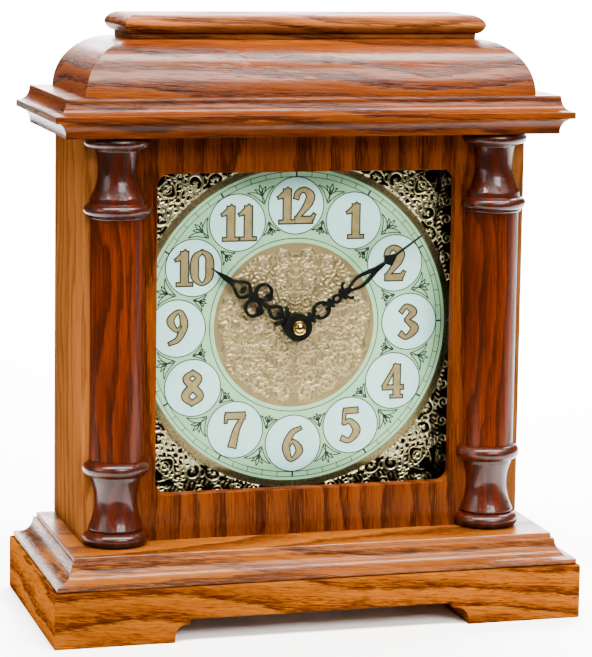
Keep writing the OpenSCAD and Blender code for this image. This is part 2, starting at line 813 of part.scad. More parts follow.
module setting_knob() {
    color("ivory") on_dial() translate([knob_at[0], knob_at[1], 0]) {
        pinion(12, m_motion, knob_phase, plane_b);
        rod(knob_arbor_r, mv_back - 0.4, plane_b);
        knob_grip(mv_back - 3.4);
    }
}

// The fluted disc of the setting knob, 3 mm thick, its rear face at z
module knob_grip(z) {
    difference() {
        rod(5, z, z + 3);
        for (i = [0:11]) rotate([0, 0, 30 * i]) translate([5.3, 0, 0]) rod(0.8, z - cut, z + 3 + cut);
    }
}

// An arbor that runs between its bearings in the front and the rear case
module arbor() {
    rod(arbor_r, mv_in_back - pivot + 0.1, mv_in + pivot - 0.1);
}

module rotor() {
    color("gray") on_dial() translate([rotor_at[0], rotor_at[1], 0]) {
        pinion(8, m_step, rotor_phase, plane_f);
        rod(2.9, plane_f - 2.3, plane_f - 0.4);
        arbor();
    }
}

module step_wheel() {
    color("ivory") on_dial() translate([step_at[0], step_at[1], 0]) {
        gear(60, m_step, 0, plane_f);
        pinion(15, m_step, step_phase, plane_e);
        arbor();
    }
}

module second_wheel() {
    color("ivory") on_dial() {
        gear(60, m_step, 0, plane_e);
        gear(8, m_second, 0, plane_e + wheel_t, plane_d - plane_e + 0.2);
        rod(second_r, mv_in_back - pivot + 0.1, minute_z + hand_t + 1.4);
    }
}

module third_wheel() {
    color("ivory") on_dial() translate([third_at[0], third_at[1], 0]) {
        gear(60, m_second, third_phase, plane_d);
        gear(8, m_centre, 0, plane_d + wheel_t, plane_c - plane_d + 0.2);
        arbor();
    }
}

module centre_wheel() {
    color("ivory") on_dial() difference() {
        gear(64, m_centre, centre_phase, plane_c);
        rod(1.2 + run, plane_c - cut, plane_c + 2);
    }
}

// Motor: a coil on the top bar of a flat stator whose lower bar rings the rotor
module motor_stator() {
    color("silver") on_dial() translate([0, 0, stator_z]) linear_extrude(stator_t) difference() {
        translate([stator_x, rotor_at[1] - 5]) square([stator_w, coil_y + 2 - rotor_at[1] + 5]);
        translate([stator_x + leg_w, rotor_at[1] + 5])
            square([stator_w - 2 * leg_w, coil_y - 2 - rotor_at[1] - 5]);
        translate([rotor_at[0], rotor_at[1]]) circle(3.3);
    }
}

module motor_coil() {
    x0 = stator_x + leg_w + 0.1;
    x1 = stator_x + stator_w - leg_w - 0.1;
    color("chocolate") on_dial() difference() {
        translate([x0, coil_y, stator_z + stator_t / 2]) rotate([0, 90, 0]) {
            cylinder(r = 2.8, h = x1 - x0);
            cylinder(r = 3.2, h = 0.6);
            translate([0, 0, x1 - x0 - 0.6]) cylinder(r = 3.2, h = 0.6);
        }
        translate([x0 - cut, coil_y - 2 - 0.05, stator_z - 0.05])
            cube([x1 - x0 + 2 * cut, 4.1, stator_t + 0.1]);
    }
}

module circuit_board() {
    color("darkgreen") on_dial() translate([-mv_w / 2 + 3, mv_w / 2 - 11, mv_in - 2.8]) union() {
        cube([28, 9, 0.8]);
        translate([5, 2, -1.2]) cube([6, 5, 1.2]);
    }
}

module quartz_crystal() {
    color("silver") on_dial() translate([-mv_w / 2 + 17, mv_w / 2 - 6.5, mv_in - 3.9]) rotate([0, 90, 0])
        cylinder(r = 1, h = 6);
}

module battery() {
    color("darkslategray") on_dial() translate([0, cell_y, cell_z]) rotate([0, 90, 0]) {
        translate([0, 0, -cell_len / 2]) cylinder(r = cell_r, h = cell_len - 1);
        translate([0, 0, cell_len / 2 - 1]) cylinder(r = 2.75, h = 1);
    }
}

// A contact strip at one end of the battery's bay
module battery_contact(s) {
    end = mv_w / 2 - mv_wall;
    translate([s > 0 ? end - contact_t : -end, cell_y - 4, cell_z - 5]) cube([contact_t, 8, 10]);
}

module battery_contact_plus() { color("silver") on_dial() battery_contact(1); }

module battery_contact_minus() {
    gap = mv_w / 2 - mv_wall - contact_t - cell_len / 2;
    color("silver") on_dial() union() {
        battery_contact(-1);
        translate([-mv_w / 2 + mv_wall + contact_t - 0.1, cell_y, cell_z]) rotate([0, 90, 0])
            cylinder(r1 = 3.2, r2 = 2, h = gap);
    }
}

plinth();
base_board();
side_panel_left();
side_panel_right();
front_panel();
cornice_board();
bonnet();
bonnet_spacer();
cap_board();
column_capital_left();
column_capital_right();
column_shaft_left();
column_shaft_right();
column_base_left();
column_base_right();
glass_pane();
glazing_frame();
dial_plate();
dial_board();
dial_blocks();
dial_screws();
base_screws();
top_screws();
back_frame();
back_frame_screws();
back_door();
door_knob();
hinge_frame_leaves();
hinge_door_leaves();
hinge_pins();
hinge_screws_frame();
hinge_screws_door();
door_magnet();
strike_plate();
movement_front_case();
movement_rear_case();
movement_gasket();
movement_washer();
movement_nut();
hour_hand();
minute_hand();
hand_nut();
minute_pipe();
hour_wheel();
minute_wheel();
setting_knob();
rotor();
step_wheel();
second_wheel();
third_wheel();
centre_wheel();
motor_coil();
motor_stator();
circuit_board();
quartz_crystal();
battery();
battery_contact_plus();
battery_contact_minus();
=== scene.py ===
# Mantel clock in lacquered oak, put together from its base upwards. Lengths in this script are in
# millimetres until put_mesh, which turns them to metres. X runs right, Y to the back, Z up.
import math

import bpy
import numpy as np
from mathutils import Matrix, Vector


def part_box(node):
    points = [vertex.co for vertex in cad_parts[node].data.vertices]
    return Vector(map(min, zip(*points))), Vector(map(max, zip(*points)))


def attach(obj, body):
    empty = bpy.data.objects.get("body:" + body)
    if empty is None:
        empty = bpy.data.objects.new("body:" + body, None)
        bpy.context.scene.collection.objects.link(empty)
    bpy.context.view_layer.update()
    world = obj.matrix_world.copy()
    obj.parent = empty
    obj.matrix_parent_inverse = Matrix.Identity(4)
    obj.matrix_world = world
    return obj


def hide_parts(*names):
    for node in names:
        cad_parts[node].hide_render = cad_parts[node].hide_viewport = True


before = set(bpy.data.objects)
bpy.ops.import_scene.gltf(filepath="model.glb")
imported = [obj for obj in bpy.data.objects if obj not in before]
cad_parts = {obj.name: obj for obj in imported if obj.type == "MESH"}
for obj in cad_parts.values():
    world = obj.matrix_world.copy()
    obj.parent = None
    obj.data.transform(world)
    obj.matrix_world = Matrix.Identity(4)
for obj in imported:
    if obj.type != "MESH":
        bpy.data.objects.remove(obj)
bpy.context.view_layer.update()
MM = 1000.0


# Camera: a long lens in front of the clock, off to its left and a little above it, level but for
# a slight roll. The shift slides the frame down the clock without tipping the upright lines.
camera = bpy.data.objects.new("camera", bpy.data.cameras.new("camera"))
camera.data.sensor_fit = "VERTICAL"
camera.data.sensor_height = 36
camera.data.lens = 148.958
camera.data.shift_x = -0.01126
camera.data.shift_y = -0.14491
camera.data.clip_end = 20
turn_right, tip_down, roll = (math.radians(a) for a in (16.126, 7.3, 0.857))
camera.matrix_world = (
    Matrix.Translation((-0.36632, -1.28174, 0.35753))
    @ Matrix.Rotation(-turn_right, 4, "Z")
    @ Matrix.Rotation(math.pi / 2 - tip_down, 4, "X")
    @ Matrix.Rotation(roll, 4, "Z")
)
bpy.context.scene.collection.objects.link(camera)
bpy.context.scene.camera = camera


# Studio: a floor of matt white paper in a dark room, and a bright card square to the camera behind.
# The floor stops short in front and at the left, so that the lacquer doesn't mirror it. A long
# softbox overhead is the main light, with weaker ones in front and at the left.
def linear(shade):
    """An sRGB hex colour such as "c08050" as linear red, green, blue and alpha."""
    part = np.array([int(shade[i : i + 2], 16) / 255 for i in (0, 2, 4)])
    part = np.where(part <= 0.04045, part / 12.92, ((part + 0.055) / 1.055) ** 2.4)
    return (*part.tolist(), 1.0)


def add_node(material, kind, links=None, stops=None, **settings):
    """Adds one node: settings are its properties, links maps its inputs to sockets or values."""
    node = material.node_tree.nodes.new(kind)
    for name, value in settings.items():
        setattr(node, name, value)
    for name, value in (links or {}).items():
        if isinstance(value, bpy.types.NodeSocket):
            material.node_tree.links.new(value, node.inputs[name])
        else:
            node.inputs[name].default_value = value
    if stops:
        band = node.color_ramp.elements
        while len(band) < len(stops):
            band.new(0.5)
        for element, (place, shade) in zip(band, stops):
            element.position = place
            element.color = linear(shade)
    return node


def new_material(name):
    """An empty node material and its shader."""
    material = bpy.data.materials.new(name)
    material.use_nodes = True
    return material, material.node_tree.nodes["Principled BSDF"]


def put_mesh(name, points, faces, closed=True, sharp=32, even=True):
    """A mesh object from points in millimetres and blocks of faces, each block an array with one
    row of point numbers a face. Faces are turned outwards by the sign of the volume they hold,
    and edges that bend by more than sharp degrees stay crisp. Even light leans each eased edge's
    shading towards the large faces beside it."""
    points = np.asarray(points, float).reshape(-1, 3)
    faces = [np.asarray(block).reshape(-1, np.shape(block)[-1]) for block in faces]
    from_middle = points - points.mean(0)
    volume = 0.0
    for block in faces:
        first, second, third = (from_middle[block[:, k]] for k in (slice(0, 1), slice(1, -1), slice(2, None)))
        volume += np.sum(first * np.cross(second, third))
    if closed and volume < 0:
        faces = [block[:, ::-1] for block in faces]
    corners = np.concatenate([block.ravel() for block in faces])
    sizes = np.concatenate([np.full(len(block), block.shape[1]) for block in faces])
    mesh = bpy.data.meshes.new(name)
    mesh.vertices.add(len(points))
    mesh.vertices.foreach_set("co", (points / MM).ravel())
    mesh.loops.add(len(corners))
    mesh.loops.foreach_set("vertex_index", corners)
    mesh.polygons.add(len(sizes))
    mesh.polygons.foreach_set("loop_start", np.concatenate([[0], np.cumsum(sizes)[:-1]]))
    mesh.update(calc_edges=True)
    mesh.polygons.foreach_set("use_smooth", np.ones(len(sizes), bool))
    mesh.set_sharp_from_angle(angle=math.radians(sharp))
    piece = bpy.data.objects.new(name, mesh)
    bpy.context.scene.collection.objects.link(piece)
    if even:
        level = piece.modifiers.new("even_light", "WEIGHTED_NORMAL")
        level.keep_sharp = True
    return piece


def weave(rows, cols, round_cols=True, round_rows=False):
    """The quads of a grid of rows by cols points, joined round on itself where asked."""
    r = np.arange(rows if round_rows else rows - 1)[:, None]
    c = np.arange(cols if round_cols else cols - 1)[None, :]
    r2, c2 = (r + 1) % rows, (c + 1) % cols
    return np.stack(np.broadcast_arrays(r * cols + c, r * cols + c2, r2 * cols + c2, r2 * cols + c), -1)


floor_x, floor_y = np.meshgrid(np.array([-400.0, 4000.0]), np.array([-260.0, 4000.0]))
paper = put_mesh(
    "paper_floor", np.dstack([floor_x, floor_y, 0 * floor_x]), [weave(2, 2, False)], closed=False, even=False)
card_at = np.array([0.6, 2.05]) * MM
card_half, card_tall = 760.0, 1300.0
card_turn = np.array([math.cos(turn_right), -math.sin(turn_right)])
card_ends = card_at + np.array([[-card_half], [card_half]]) * card_turn
card = put_mesh("bright_card", np.stack([
    np.column_stack([card_ends, np.full(2, height)]) for height in (0.0, card_tall)]),
    [weave(2, 2, False)], closed=False, even=False)
paper_white, shader = new_material("matt_white_paper")
shader.inputs["Base Color"].default_value = linear("f6f5f3")
shader.inputs["Roughness"].default_value = 0.9
shader.inputs["Specular IOR Level"].default_value = 0.2
card_white, shader = new_material("bright_white_card")
shader.inputs["Base Color"].default_value = linear("f6f5f3")
shader.inputs["Emission Color"].default_value = linear("ffffff")
shader.inputs["Emission Strength"].default_value = 5.0
paper.data.materials.append(paper_white)
card.data.materials.append(card_white)

world = bpy.data.worlds.new("dark_room")
world.use_nodes = True
world.node_tree.nodes["Background"].inputs["Color"].default_value = linear("fbfaf8")
world.node_tree.nodes["Background"].inputs["Strength"].default_value = 0.1
bpy.context.scene.world = world


def softbox(name, place, target, width, height, watts, shade):
    """A rectangular area light at place that faces target, both in metres."""
    lamp = bpy.data.lights.new(name, "AREA")
    lamp.shape = "RECTANGLE"
    lamp.size, lamp.size_y = width, height
    lamp.energy = watts
    lamp.color = linear(shade)[:3]
    box = bpy.data.objects.new(name, lamp)
    away = np.array(place) - np.array(target)
    flat = math.hypot(away[0], away[1])
    box.matrix_world = (
        Matrix.Translation(place)
        @ Matrix.Rotation(math.atan2(away[0], -away[1]), 4, "Z")
        @ Matrix.Rotation(math.atan2(flat, away[2]), 4, "X")
    )
    bpy.context.scene.collection.objects.link(box)


softbox("overhead", (-0.05, -0.58, 1.5), (0, 0, 0.2), 2.4, 0.42, 245, "fffaf6")
softbox("key_front", (0.3, -1.6, 1.1), (0, 0, 0.2), 1.0, 0.6, 70, "fffdfa")
softbox("fill_left", (-1.7, -0.55, 0.75), (0, 0, 0.15), 0.9, 0.9, 22, "ffffff")
softbox("floor_behind", (0.5, 1.1, 1.5), (0.5, 1.3, 0), 1.6, 1.0, 420, "ffffff")


# Plinth: the lowest board, sawn from solid oak with its grain running across the clock, and cut
# away between two feet. Its ends are mitred strips, so the grain runs to the back there.
def soften(section, reach=0.5, steps=4):
    """A section with its corners eased: each inner point is swapped for a parabola that leaves
    the two sides meeting there at most reach away from it."""
    section = np.asarray(section, float)
    at = section[1:-1]
    back, on = section[:-2] - at, section[2:] - at
    far_back, far_on = (np.linalg.norm(v, axis=1, keepdims=True) + 1e-9 for v in (back, on))
    start = at + back / far_back * np.minimum(reach, 0.4 * far_back)
    end = at + on / far_on * np.minimum(reach, 0.4 * far_on)
    t = np.linspace(0, 1, steps)[None, :, None]
    arcs = (1 - t) ** 2 * start[:, None] + 2 * t * (1 - t) * at[:, None] + t**2 * end[:, None]
    return np.vstack([section[:1], arcs.reshape(-1, 2), section[-1:]])


def set_grain(piece, mitred, seed):
    """Stores where each face corner lies in the log, in mm: along the fibres, then two ways
    across them. mitred is "x" or "z" for a plain board, or "mitre" where the ends run in Y."""
    mesh = piece.data
    points = np.zeros(len(mesh.vertices) * 3)
    mesh.vertices.foreach_get("co", points)
    corner = np.zeros(len(mesh.loops), int)
    mesh.loops.foreach_get("vertex_index", corner)
    place = points.reshape(-1, 3)[corner] * MM
    order = {"x": [0, 1, 2], "z": [2, 0, 1], "y": [1, 0, 2], "mitre": [0, 1, 2]}[mitred]
    grain = place[:, order]
    if mitred == "mitre":
        facing = np.zeros(len(mesh.polygons) * 3)
        mesh.polygons.foreach_get("normal", facing)
        facing = facing.reshape(-1, 3)
        sizes = np.zeros(len(mesh.polygons), int)
        mesh.polygons.foreach_get("loop_total", sizes)
        ends = np.repeat(np.abs(facing[:, 0]) > np.abs(facing[:, 1]) + 0.01, sizes)
        grain[ends] = place[ends][:, [1, 0, 2]] + np.array([37.0, 11.0, 5.0])
    grain = grain + np.random.default_rng(seed).uniform(-400, 400, 3) * np.array([1, 0, 0])
    layer = mesh.attributes.new("grain", "FLOAT_VECTOR", "CORNER")
    layer.data.foreach_set("vector", grain.ravel())


def oak(name, light, mid, dark, ring=5.0, pith=(0, 55), slope=0.03, offset=0.0, gloss=0.14, coat=0.25,
        pore=0.75):
    """Stained red oak under gloss lacquer: ring-porous wood, so each year shows a band of long
    dark pores beside a smooth late band, and the lacquer gives clear soft-edged glints."""
    material, shader = new_material(name)
    log = add_node(material, "ShaderNodeAttribute", attribute_name="grain")
    placed = add_node(material, "ShaderNodeMapping", {
        "Vector": log.outputs["Vector"], "Location": (offset, 0, 0),
        "Rotation": (0, -slope, slope * 0.7)})
    # The years: distance from the pith, bent by a slow wander along the board
    wander = add_node(material, "ShaderNodeMapping", {
        "Vector": placed.outputs[0], "Scale": (0.008, 0.028, 0.028)})
    bend = add_node(material, "ShaderNodeTexNoise", {
        "Vector": wander.outputs[0], "Scale": 1.0, "Detail": 2.0, "Roughness": 0.5})
    from_pith = add_node(material, "ShaderNodeMapping", {
        "Vector": placed.outputs[0], "Location": (0, pith[0], pith[1]), "Scale": (0.0, 1.0, 1.0)})
    radius = add_node(material, "ShaderNodeVectorMath", {0: from_pith.outputs[0]}, operation="LENGTH")
    bent = add_node(material, "ShaderNodeMath", {
        0: bend.outputs["Fac"], 1: 26.0, 2: radius.outputs["Value"]}, operation="MULTIPLY_ADD")
    fine_wander = add_node(material, "ShaderNodeMapping", {
        "Vector": placed.outputs[0], "Scale": (0.03, 0.3, 0.3)})
    fine_bend = add_node(material, "ShaderNodeTexNoise", {
        "Vector": fine_wander.outputs[0], "Scale": 1.0, "Detail": 2.0})
    bent_more = add_node(material, "ShaderNodeMath", {
        0: fine_bend.outputs["Fac"], 1: 3.0, 2: bent.outputs[0]}, operation="MULTIPLY_ADD")
    years = add_node(material, "ShaderNodeMath", {0: bent_more.outputs[0], 1: ring}, operation="DIVIDE")
    year = add_node(material, "ShaderNodeMath", {0: years.outputs[0]}, operation="FRACT")
    # Pores: dashes about 0.4 by 12 mm, drawn coarser than real ones so that they show
    along = add_node(material, "ShaderNodeMapping", {
        "Vector": placed.outputs[0], "Scale": (0.085, 2.5, 2.5)})
    dash = add_node(material, "ShaderNodeTexNoise", {
        "Vector": along.outputs[0], "Scale": 1.0, "Detail": 3.0, "Roughness": 0.6})
    early = add_node(material, "ShaderNodeValToRGB", {"Fac": year.outputs[0]}, stops=[
        (0.0, "ffffff"), (0.28, "d8d8d8"), (0.5, "686868"), (0.85, "484848"), (1.0, "ffffff")])
    porous = add_node(material, "ShaderNodeMath", {
        0: early.outputs["Color"], 1: 0.2, 2: dash.outputs["Fac"]}, operation="MULTIPLY_ADD")
    pores = add_node(material, "ShaderNodeMapRange", {
        "Value": porous.outputs[0], "From Min": 0.585, "From Max": 0.71}, interpolation_type="SMOOTHSTEP")
    # Fibres: long faint streaks between the pores
    fibre_space = add_node(material, "ShaderNodeMapping", {
        "Vector": placed.outputs[0], "Scale": (0.014, 1.2, 1.2)})
    fibre = add_node(material, "ShaderNodeTexNoise", {
        "Vector": fibre_space.outputs[0], "Scale": 1.0, "Detail": 4.0, "Roughness": 0.7})
    tone = add_node(material, "ShaderNodeMath", {
        0: year.outputs[0], 1: 0.24, 2: fibre.outputs["Fac"]}, operation="MULTIPLY_ADD")
    body = add_node(material, "ShaderNodeValToRGB", {"Fac": tone.outputs[0]}, stops=[
        (0.38, dark), (0.56, mid), (0.80, light)])
    blotch_space = add_node(material, "ShaderNodeMapping", {
        "Vector": placed.outputs[0], "Scale": (0.006, 0.03, 0.03)})
    blotch = add_node(material, "ShaderNodeTexNoise", {
        "Vector": blotch_space.outputs[0], "Scale": 1.0, "Detail": 3.0})
    shade = add_node(material, "ShaderNodeMapRange", {
        "Value": blotch.outputs["Fac"], "From Min": 0.3, "From Max": 0.7, "To Min": 0.72, "To Max": 1.18})
    toned = add_node(material, "ShaderNodeVectorMath", {
        0: body.outputs["Color"], "Scale": shade.outputs[0]}, operation="SCALE")
    inked = add_node(material, "ShaderNodeMix", {
        "Factor": pores.outputs[0], 6: toned.outputs[0], 7: linear("1a0600")},
        data_type="RGBA", clamp_factor=True)
    strength = add_node(material, "ShaderNodeMath", {0: pores.outputs[0], 1: pore}, operation="MULTIPLY")
    material.node_tree.links.new(strength.outputs[0], inked.inputs["Factor"])
    material.node_tree.links.new(inked.outputs[2], shader.inputs["Base Color"])
    # Lacquer lies smooth over the wood but sinks a little into the pores
    dull = add_node(material, "ShaderNodeMapRange", {
        "Value": pores.outputs[0], "To Min": 0.34, "To Max": 0.6})
    material.node_tree.links.new(dull.outputs[0], shader.inputs["Roughness"])
    sunk = add_node(material, "ShaderNodeBump", {
        "Strength": 0.35, "Distance": 0.0001, "Height": strength.outputs[0]}, invert=True)
    material.node_tree.links.new(sunk.outputs[0], shader.inputs["Normal"])
    material.node_tree.links.new(sunk.outputs[0], shader.inputs["Coat Normal"])
    shader.inputs["Coat Weight"].default_value = coat
    shader.inputs["Coat Roughness"].default_value = gloss
    shader.inputs["Coat IOR"].default_value = 1.4
    shader.inputs["Specular IOR Level"].default_value = 0.1 * coat
    return material


def node_box(node):
    """The lowest and highest corners of a CAD node at rest, in mm."""
    low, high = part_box(node)
    return np.array(low) * MM, np.array(high) * MM


plinth_low, plinth_high = node_box("plinth")
base_w = plinth_high[0] - plinth_low[0]
plinth_h = plinth_high[2]
gap_half = 73.5
gap_top = 11.1
gap_cove_r = 6.2
gap_ledge = 1.1
gap_step = 2.4

def beam(x, bottom, top, front, back, ease, bend=5):
    """Rings of a board that runs along X: each ring is a rectangle in Y and Z with round corners
    of radius ease, and its four sides may follow their own lines along the board."""
    angle = np.radians((np.arange(4)[:, None] * 90 + np.linspace(0, 90, bend)[None, :]).ravel())
    quadrant = np.repeat(np.radians(np.arange(4) * 90 + 45), bend)
    y = np.where(np.cos(quadrant) > 0, back[:, None] - ease, front[:, None] + ease) + ease * np.cos(angle)
    z = np.where(np.sin(quadrant) > 0, top[:, None] - ease, bottom[:, None] + ease) + ease * np.sin(angle)
    return np.stack(np.broadcast_arrays(x[:, None], y, z), -1)


def lidded(rings):
    """Face blocks of a stack of closed rings: the quads between them, and a lid at each end."""
    rows, cols = rings.shape[:2]
    lid = np.arange(cols)[None, :]
    return [weave(rows, cols), lid[:, ::-1], lid + (rows - 1) * cols]


def finish_oak(piece, material, grain, seed, node):
    """Gives an oak piece its grain and lacquer, and lets it stand for its CAD node on the case."""
    set_grain(piece, grain, seed)
    piece.data.materials.append(material)
    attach(piece, "case")
    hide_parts(node)


quarter_turn = np.linspace(0, math.pi / 2, 12)
edge_r = 0.7
batter = 0.03
cove_x = gap_half - gap_cove_r
cove_z = gap_top - gap_step - gap_cove_r
# From the middle of the gap out to one foot's end: x, height of the underside. Upright steps
# lean by the batter, so that no two points share an x.
half_under = soften(np.vstack([
    [[0, gap_top], [cove_x - gap_ledge, gap_top], [cove_x - gap_ledge + batter, gap_top - gap_step]],
    np.column_stack([
        cove_x + gap_cove_r * np.sin(quarter_turn), cove_z + gap_cove_r * np.cos(quarter_turn)]),
    [[gap_half + batter, 0], [base_w / 2 - edge_r, 0]],
]), 0.4)
end_turn = np.linspace(0, math.pi / 2, 6)[1:]
end_x = base_w / 2 - edge_r + edge_r * np.sin(end_turn)
half_x = np.concatenate([half_under[:, 0], end_x])
half_z = np.concatenate([half_under[:, 1], edge_r * (1 - np.cos(end_turn))])
half_in = np.concatenate([np.zeros(len(half_under)), edge_r * (1 - np.cos(end_turn))])
run_x, run_z, run_in = (
    np.concatenate([sign * v[:0:-1], v]) for sign, v in ((-1, half_x), (1, half_z), (1, half_in)))
plinth_rings = beam(
    run_x, run_z, plinth_h - run_in, plinth_low[1] + run_in, plinth_high[1] - run_in, edge_r)
plinth = put_mesh("oak_plinth", plinth_rings, lidded(plinth_rings))
oak_plinth = oak("satin_oak_plinth", "6a3a0a", "552804", "240a00", ring=9.0, pith=(20, 60), slope=0.09,
    gloss=0.3, coat=0.0)
finish_oak(plinth, oak_plinth, "mitre", 1, "plinth")


# Base board: one moulded board on the plinth, with a small fillet below, a wide cove that runs
# up to a flat ledge, and mitred corners. The case is screwed down on its top.
def moulding(low, high, side, front=None, back=None, corner=0.5, bend=5):
    """Rings of a moulded board: each ring is a rectangle with small round corners, drawn in from
    the board's box by the section's inset at that height. A section is rows of inset, height."""
    front = side if front is None else front
    back = side if back is None else back
    angle = (np.arange(4)[:, None] * 90 + np.linspace(0, 90, bend)[None, :]).ravel()
    angle = np.radians(angle)
    quadrant = np.repeat(np.radians(np.arange(4) * 90 + 45), bend)
    right = np.sign(np.cos(quadrant))
    rear = np.sign(np.sin(quadrant))
    mid_x = (low[0] + high[0]) / 2
    half_x = (high[0] - low[0]) / 2 - side[:, :1] - corner
    y_far = np.where(rear > 0, high[1] - back[:, :1] - corner, low[1] + front[:, :1] + corner)
    x = mid_x + right * half_x + corner * np.cos(angle)
    y = y_far + corner * np.sin(angle)
    z = low[2] + side[:, 1:]
    return np.stack(np.broadcast_arrays(x, y, z), -1)


def cove(start, end, steps=14):
    """A quarter hollow between two points of a section: level where it leaves start and upright
    where it meets end."""
    t = np.linspace(0, math.pi / 2, steps)
    return np.column_stack([
        start[0] + (end[0] - start[0]) * np.sin(t), end[1] - (end[1] - start[1]) * np.cos(t)])


base_low, base_high = node_box("base_board")
base_h = base_high[2] - base_low[2]
plinth_show = 1.65
base_low[:2], base_high[:2] = plinth_low[:2], plinth_high[:2]
base_section = soften(np.vstack([
    [[plinth_show + 0.6, 0], [plinth_show, 0.7], [plinth_show, 2.8]],
    cove((plinth_show + 0.5, 2.8), (plinth_show + 8.5, base_h - 2.6)),
    [[plinth_show + 10, base_h - 2.4], [plinth_show + 10, base_h - 0.4], [plinth_show + 10.4, base_h]],
]), 0.35)
base_rings = moulding(base_low, base_high, base_section)
base_board = put_mesh("oak_base_board", base_rings, lidded(base_rings))
oak_base = oak("lacquered_oak_base", "6a3a0a", "552804", "240a00", ring=9.0, pith=(20, 60), slope=0.09)
finish_oak(base_board, oak_base, "mitre", 2, "base_board")


# Side panels: upright oak boards with matt lacquer, let in behind for the back frame.
def post(low, high, ease=0.6):
    """Rings of an upright board with its four long edges and its ends eased."""
    section = np.array([[ease, 0], [ease * 0.3, ease * 0.3], [0, ease]])
    top = section[::-1] * [1, -1] + [0, high[2] - low[2]]
    return moulding(low, high, np.vstack([section, top]), corner=ease)


oak_case = oak("satin_oak_sides", "663c1a", "5a3213", "4a260d", ring=7.0, pith=(70, 25), slope=0.02,
    gloss=0.35, coat=0.0, pore=0.35)
for side in ("left", "right"):
    panel_low, panel_high = node_box(f"side_panel_{side}")
    # The back frame laps the panel's rear edge, so the panel stops a hair short of its face
    panel_rings = post(panel_low, panel_high - [0, 0.2, 0])
    panel = put_mesh(f"oak_side_panel_{side}", panel_rings, lidded(panel_rings))
    finish_oak(panel, oak_case, "z", 3 if side == "left" else 4, f"side_panel_{side}")


# Front panel: an upright oak board between the side panels, with a round-cornered window cut
# through it and a wider rabbet behind that holds the glass and the dial.
front_low, front_high = node_box("front_panel")
glass_low, glass_high = node_box("glass_pane")
window_half = np.array([75.0, 78.15])
window_r = 6.0
rabbet_half = window_half + 12
window_x = (glass_low[0] + glass_high[0]) / 2
window_z = (glass_low[2] + glass_high[2]) / 2
lip_back = glass_low[1]


def frame_ring(half, radius, y, bend=9):
    """A rectangle with round corners round the window's middle, standing at depth y."""
    angle = (np.arange(4)[:, None] * 90 + np.linspace(0, 90, bend)[None, :]).ravel()
    quadrant = np.repeat(np.radians(np.arange(4) * 90 + 45), bend)
    x = window_x + np.sign(np.cos(quadrant)) * (half[0] - radius) + radius * np.cos(np.radians(angle))
    z = window_z + np.sign(np.sin(quadrant)) * (half[1] - radius) + radius * np.sin(np.radians(angle))
    return np.column_stack([x, np.full(len(x), y), z])


panel_half = np.array([front_high[0] - front_low[0], 2 * (front_high[2] - window_z)]) / 2
arris = np.array([[0.0, 0.7], [0.12, 0.32], [0.35, 0.1], [0.7, 0.0]])
panel_rings = [frame_ring(panel_half, 0.2, front_low[1])]
panel_rings += [frame_ring(window_half + out, window_r + out, front_low[1] + down)
    for out, down in arris[::-1]]
panel_rings += [
    frame_ring(window_half, window_r, lip_back),
    frame_ring(rabbet_half, 0.4, lip_back),
    frame_ring(rabbet_half, 0.4, front_high[1]),
    frame_ring(panel_half, 0.2, front_high[1]),
]
panel_rings = np.array(panel_rings)
outer = [0, len(panel_rings) - 1]
below = panel_rings[outer][..., 2] < window_z
panel_rings[outer, :, 2] = np.where(below, front_low[2], panel_rings[outer][..., 2])
oak_front = oak("lacquered_oak_front", "522404", "401800", "1c0600", ring=10.0, pith=(10, 40), slope=0.03,
    gloss=0.16, coat=0.06)
front_panel = put_mesh("oak_front_panel", panel_rings, [weave(*panel_rings.shape[:2], round_rows=True)])
finish_oak(front_panel, oak_front, "z", 5, "front_panel")


# Cornice: a moulded oak board laid on the case. A cove runs out to a square fillet, and a
# shallower one runs back in on top to the bonnet.
cornice_low, cornice_high = node_box("cornice_board")
cornice_h = cornice_high[2] - cornice_low[2]
reach = 5.9
turn = np.linspace(0, math.pi / 2, 14)
under_cove = np.column_stack([0.3 + (reach - 0.3) * np.cos(turn), 1 + 6.7 * np.sin(turn)])
cornice_section = soften(np.vstack([
    [[reach, 0]], under_cove, [[0, 7.7], [0, 11]],
    cove((0.6, 11), (reach - 0.3, cornice_h - 1)), [[reach, cornice_h]],
]), 0.4)
cornice_rings = moulding(cornice_low, cornice_high, cornice_section)
oak_top = oak("lacquered_oak_top", "5e2c06", "4a1c01", "1a0500", ring=8.0, pith=(25, 45), slope=0.04,
    coat=0.4)
cornice = put_mesh("oak_cornice", cornice_rings, lidded(cornice_rings))
oak_cornice = oak("lacquered_oak_cornice", "562705", "401700", "180400", ring=8.0, pith=(25, 45),
    slope=0.04, coat=0.22)
finish_oak(cornice, oak_cornice, "mitre", 6, "cornice_board")


# Bonnet: four quarter-round mouldings mitred together round a flat top, rounder at its ends
# than at its front.
bonnet_low, bonnet_high = node_box("bonnet")
bonnet_h = bonnet_high[2] - bonnet_low[2]
spacer_low, spacer_high = node_box("bonnet_spacer")
end_run = spacer_low[0] - bonnet_low[0]
front_run = spacer_low[1] - bonnet_low[1]


def quarter_round(run, height, steps=28):
    """A quarter ellipse that rises upright from the edge and levels out at the top."""
    t = np.linspace(0, math.pi / 2, steps)
    return np.column_stack([run * (1 - np.cos(t)), height * np.sin(t)])


bonnet_rings = moulding(
    bonnet_low, bonnet_high, quarter_round(end_run, bonnet_h), front=quarter_round(front_run, bonnet_h),
    corner=0.35, bend=4)
bonnet = put_mesh("oak_bonnet", bonnet_rings, lidded(bonnet_rings))
finish_oak(bonnet, oak_top, "mitre", 7, "bonnet")


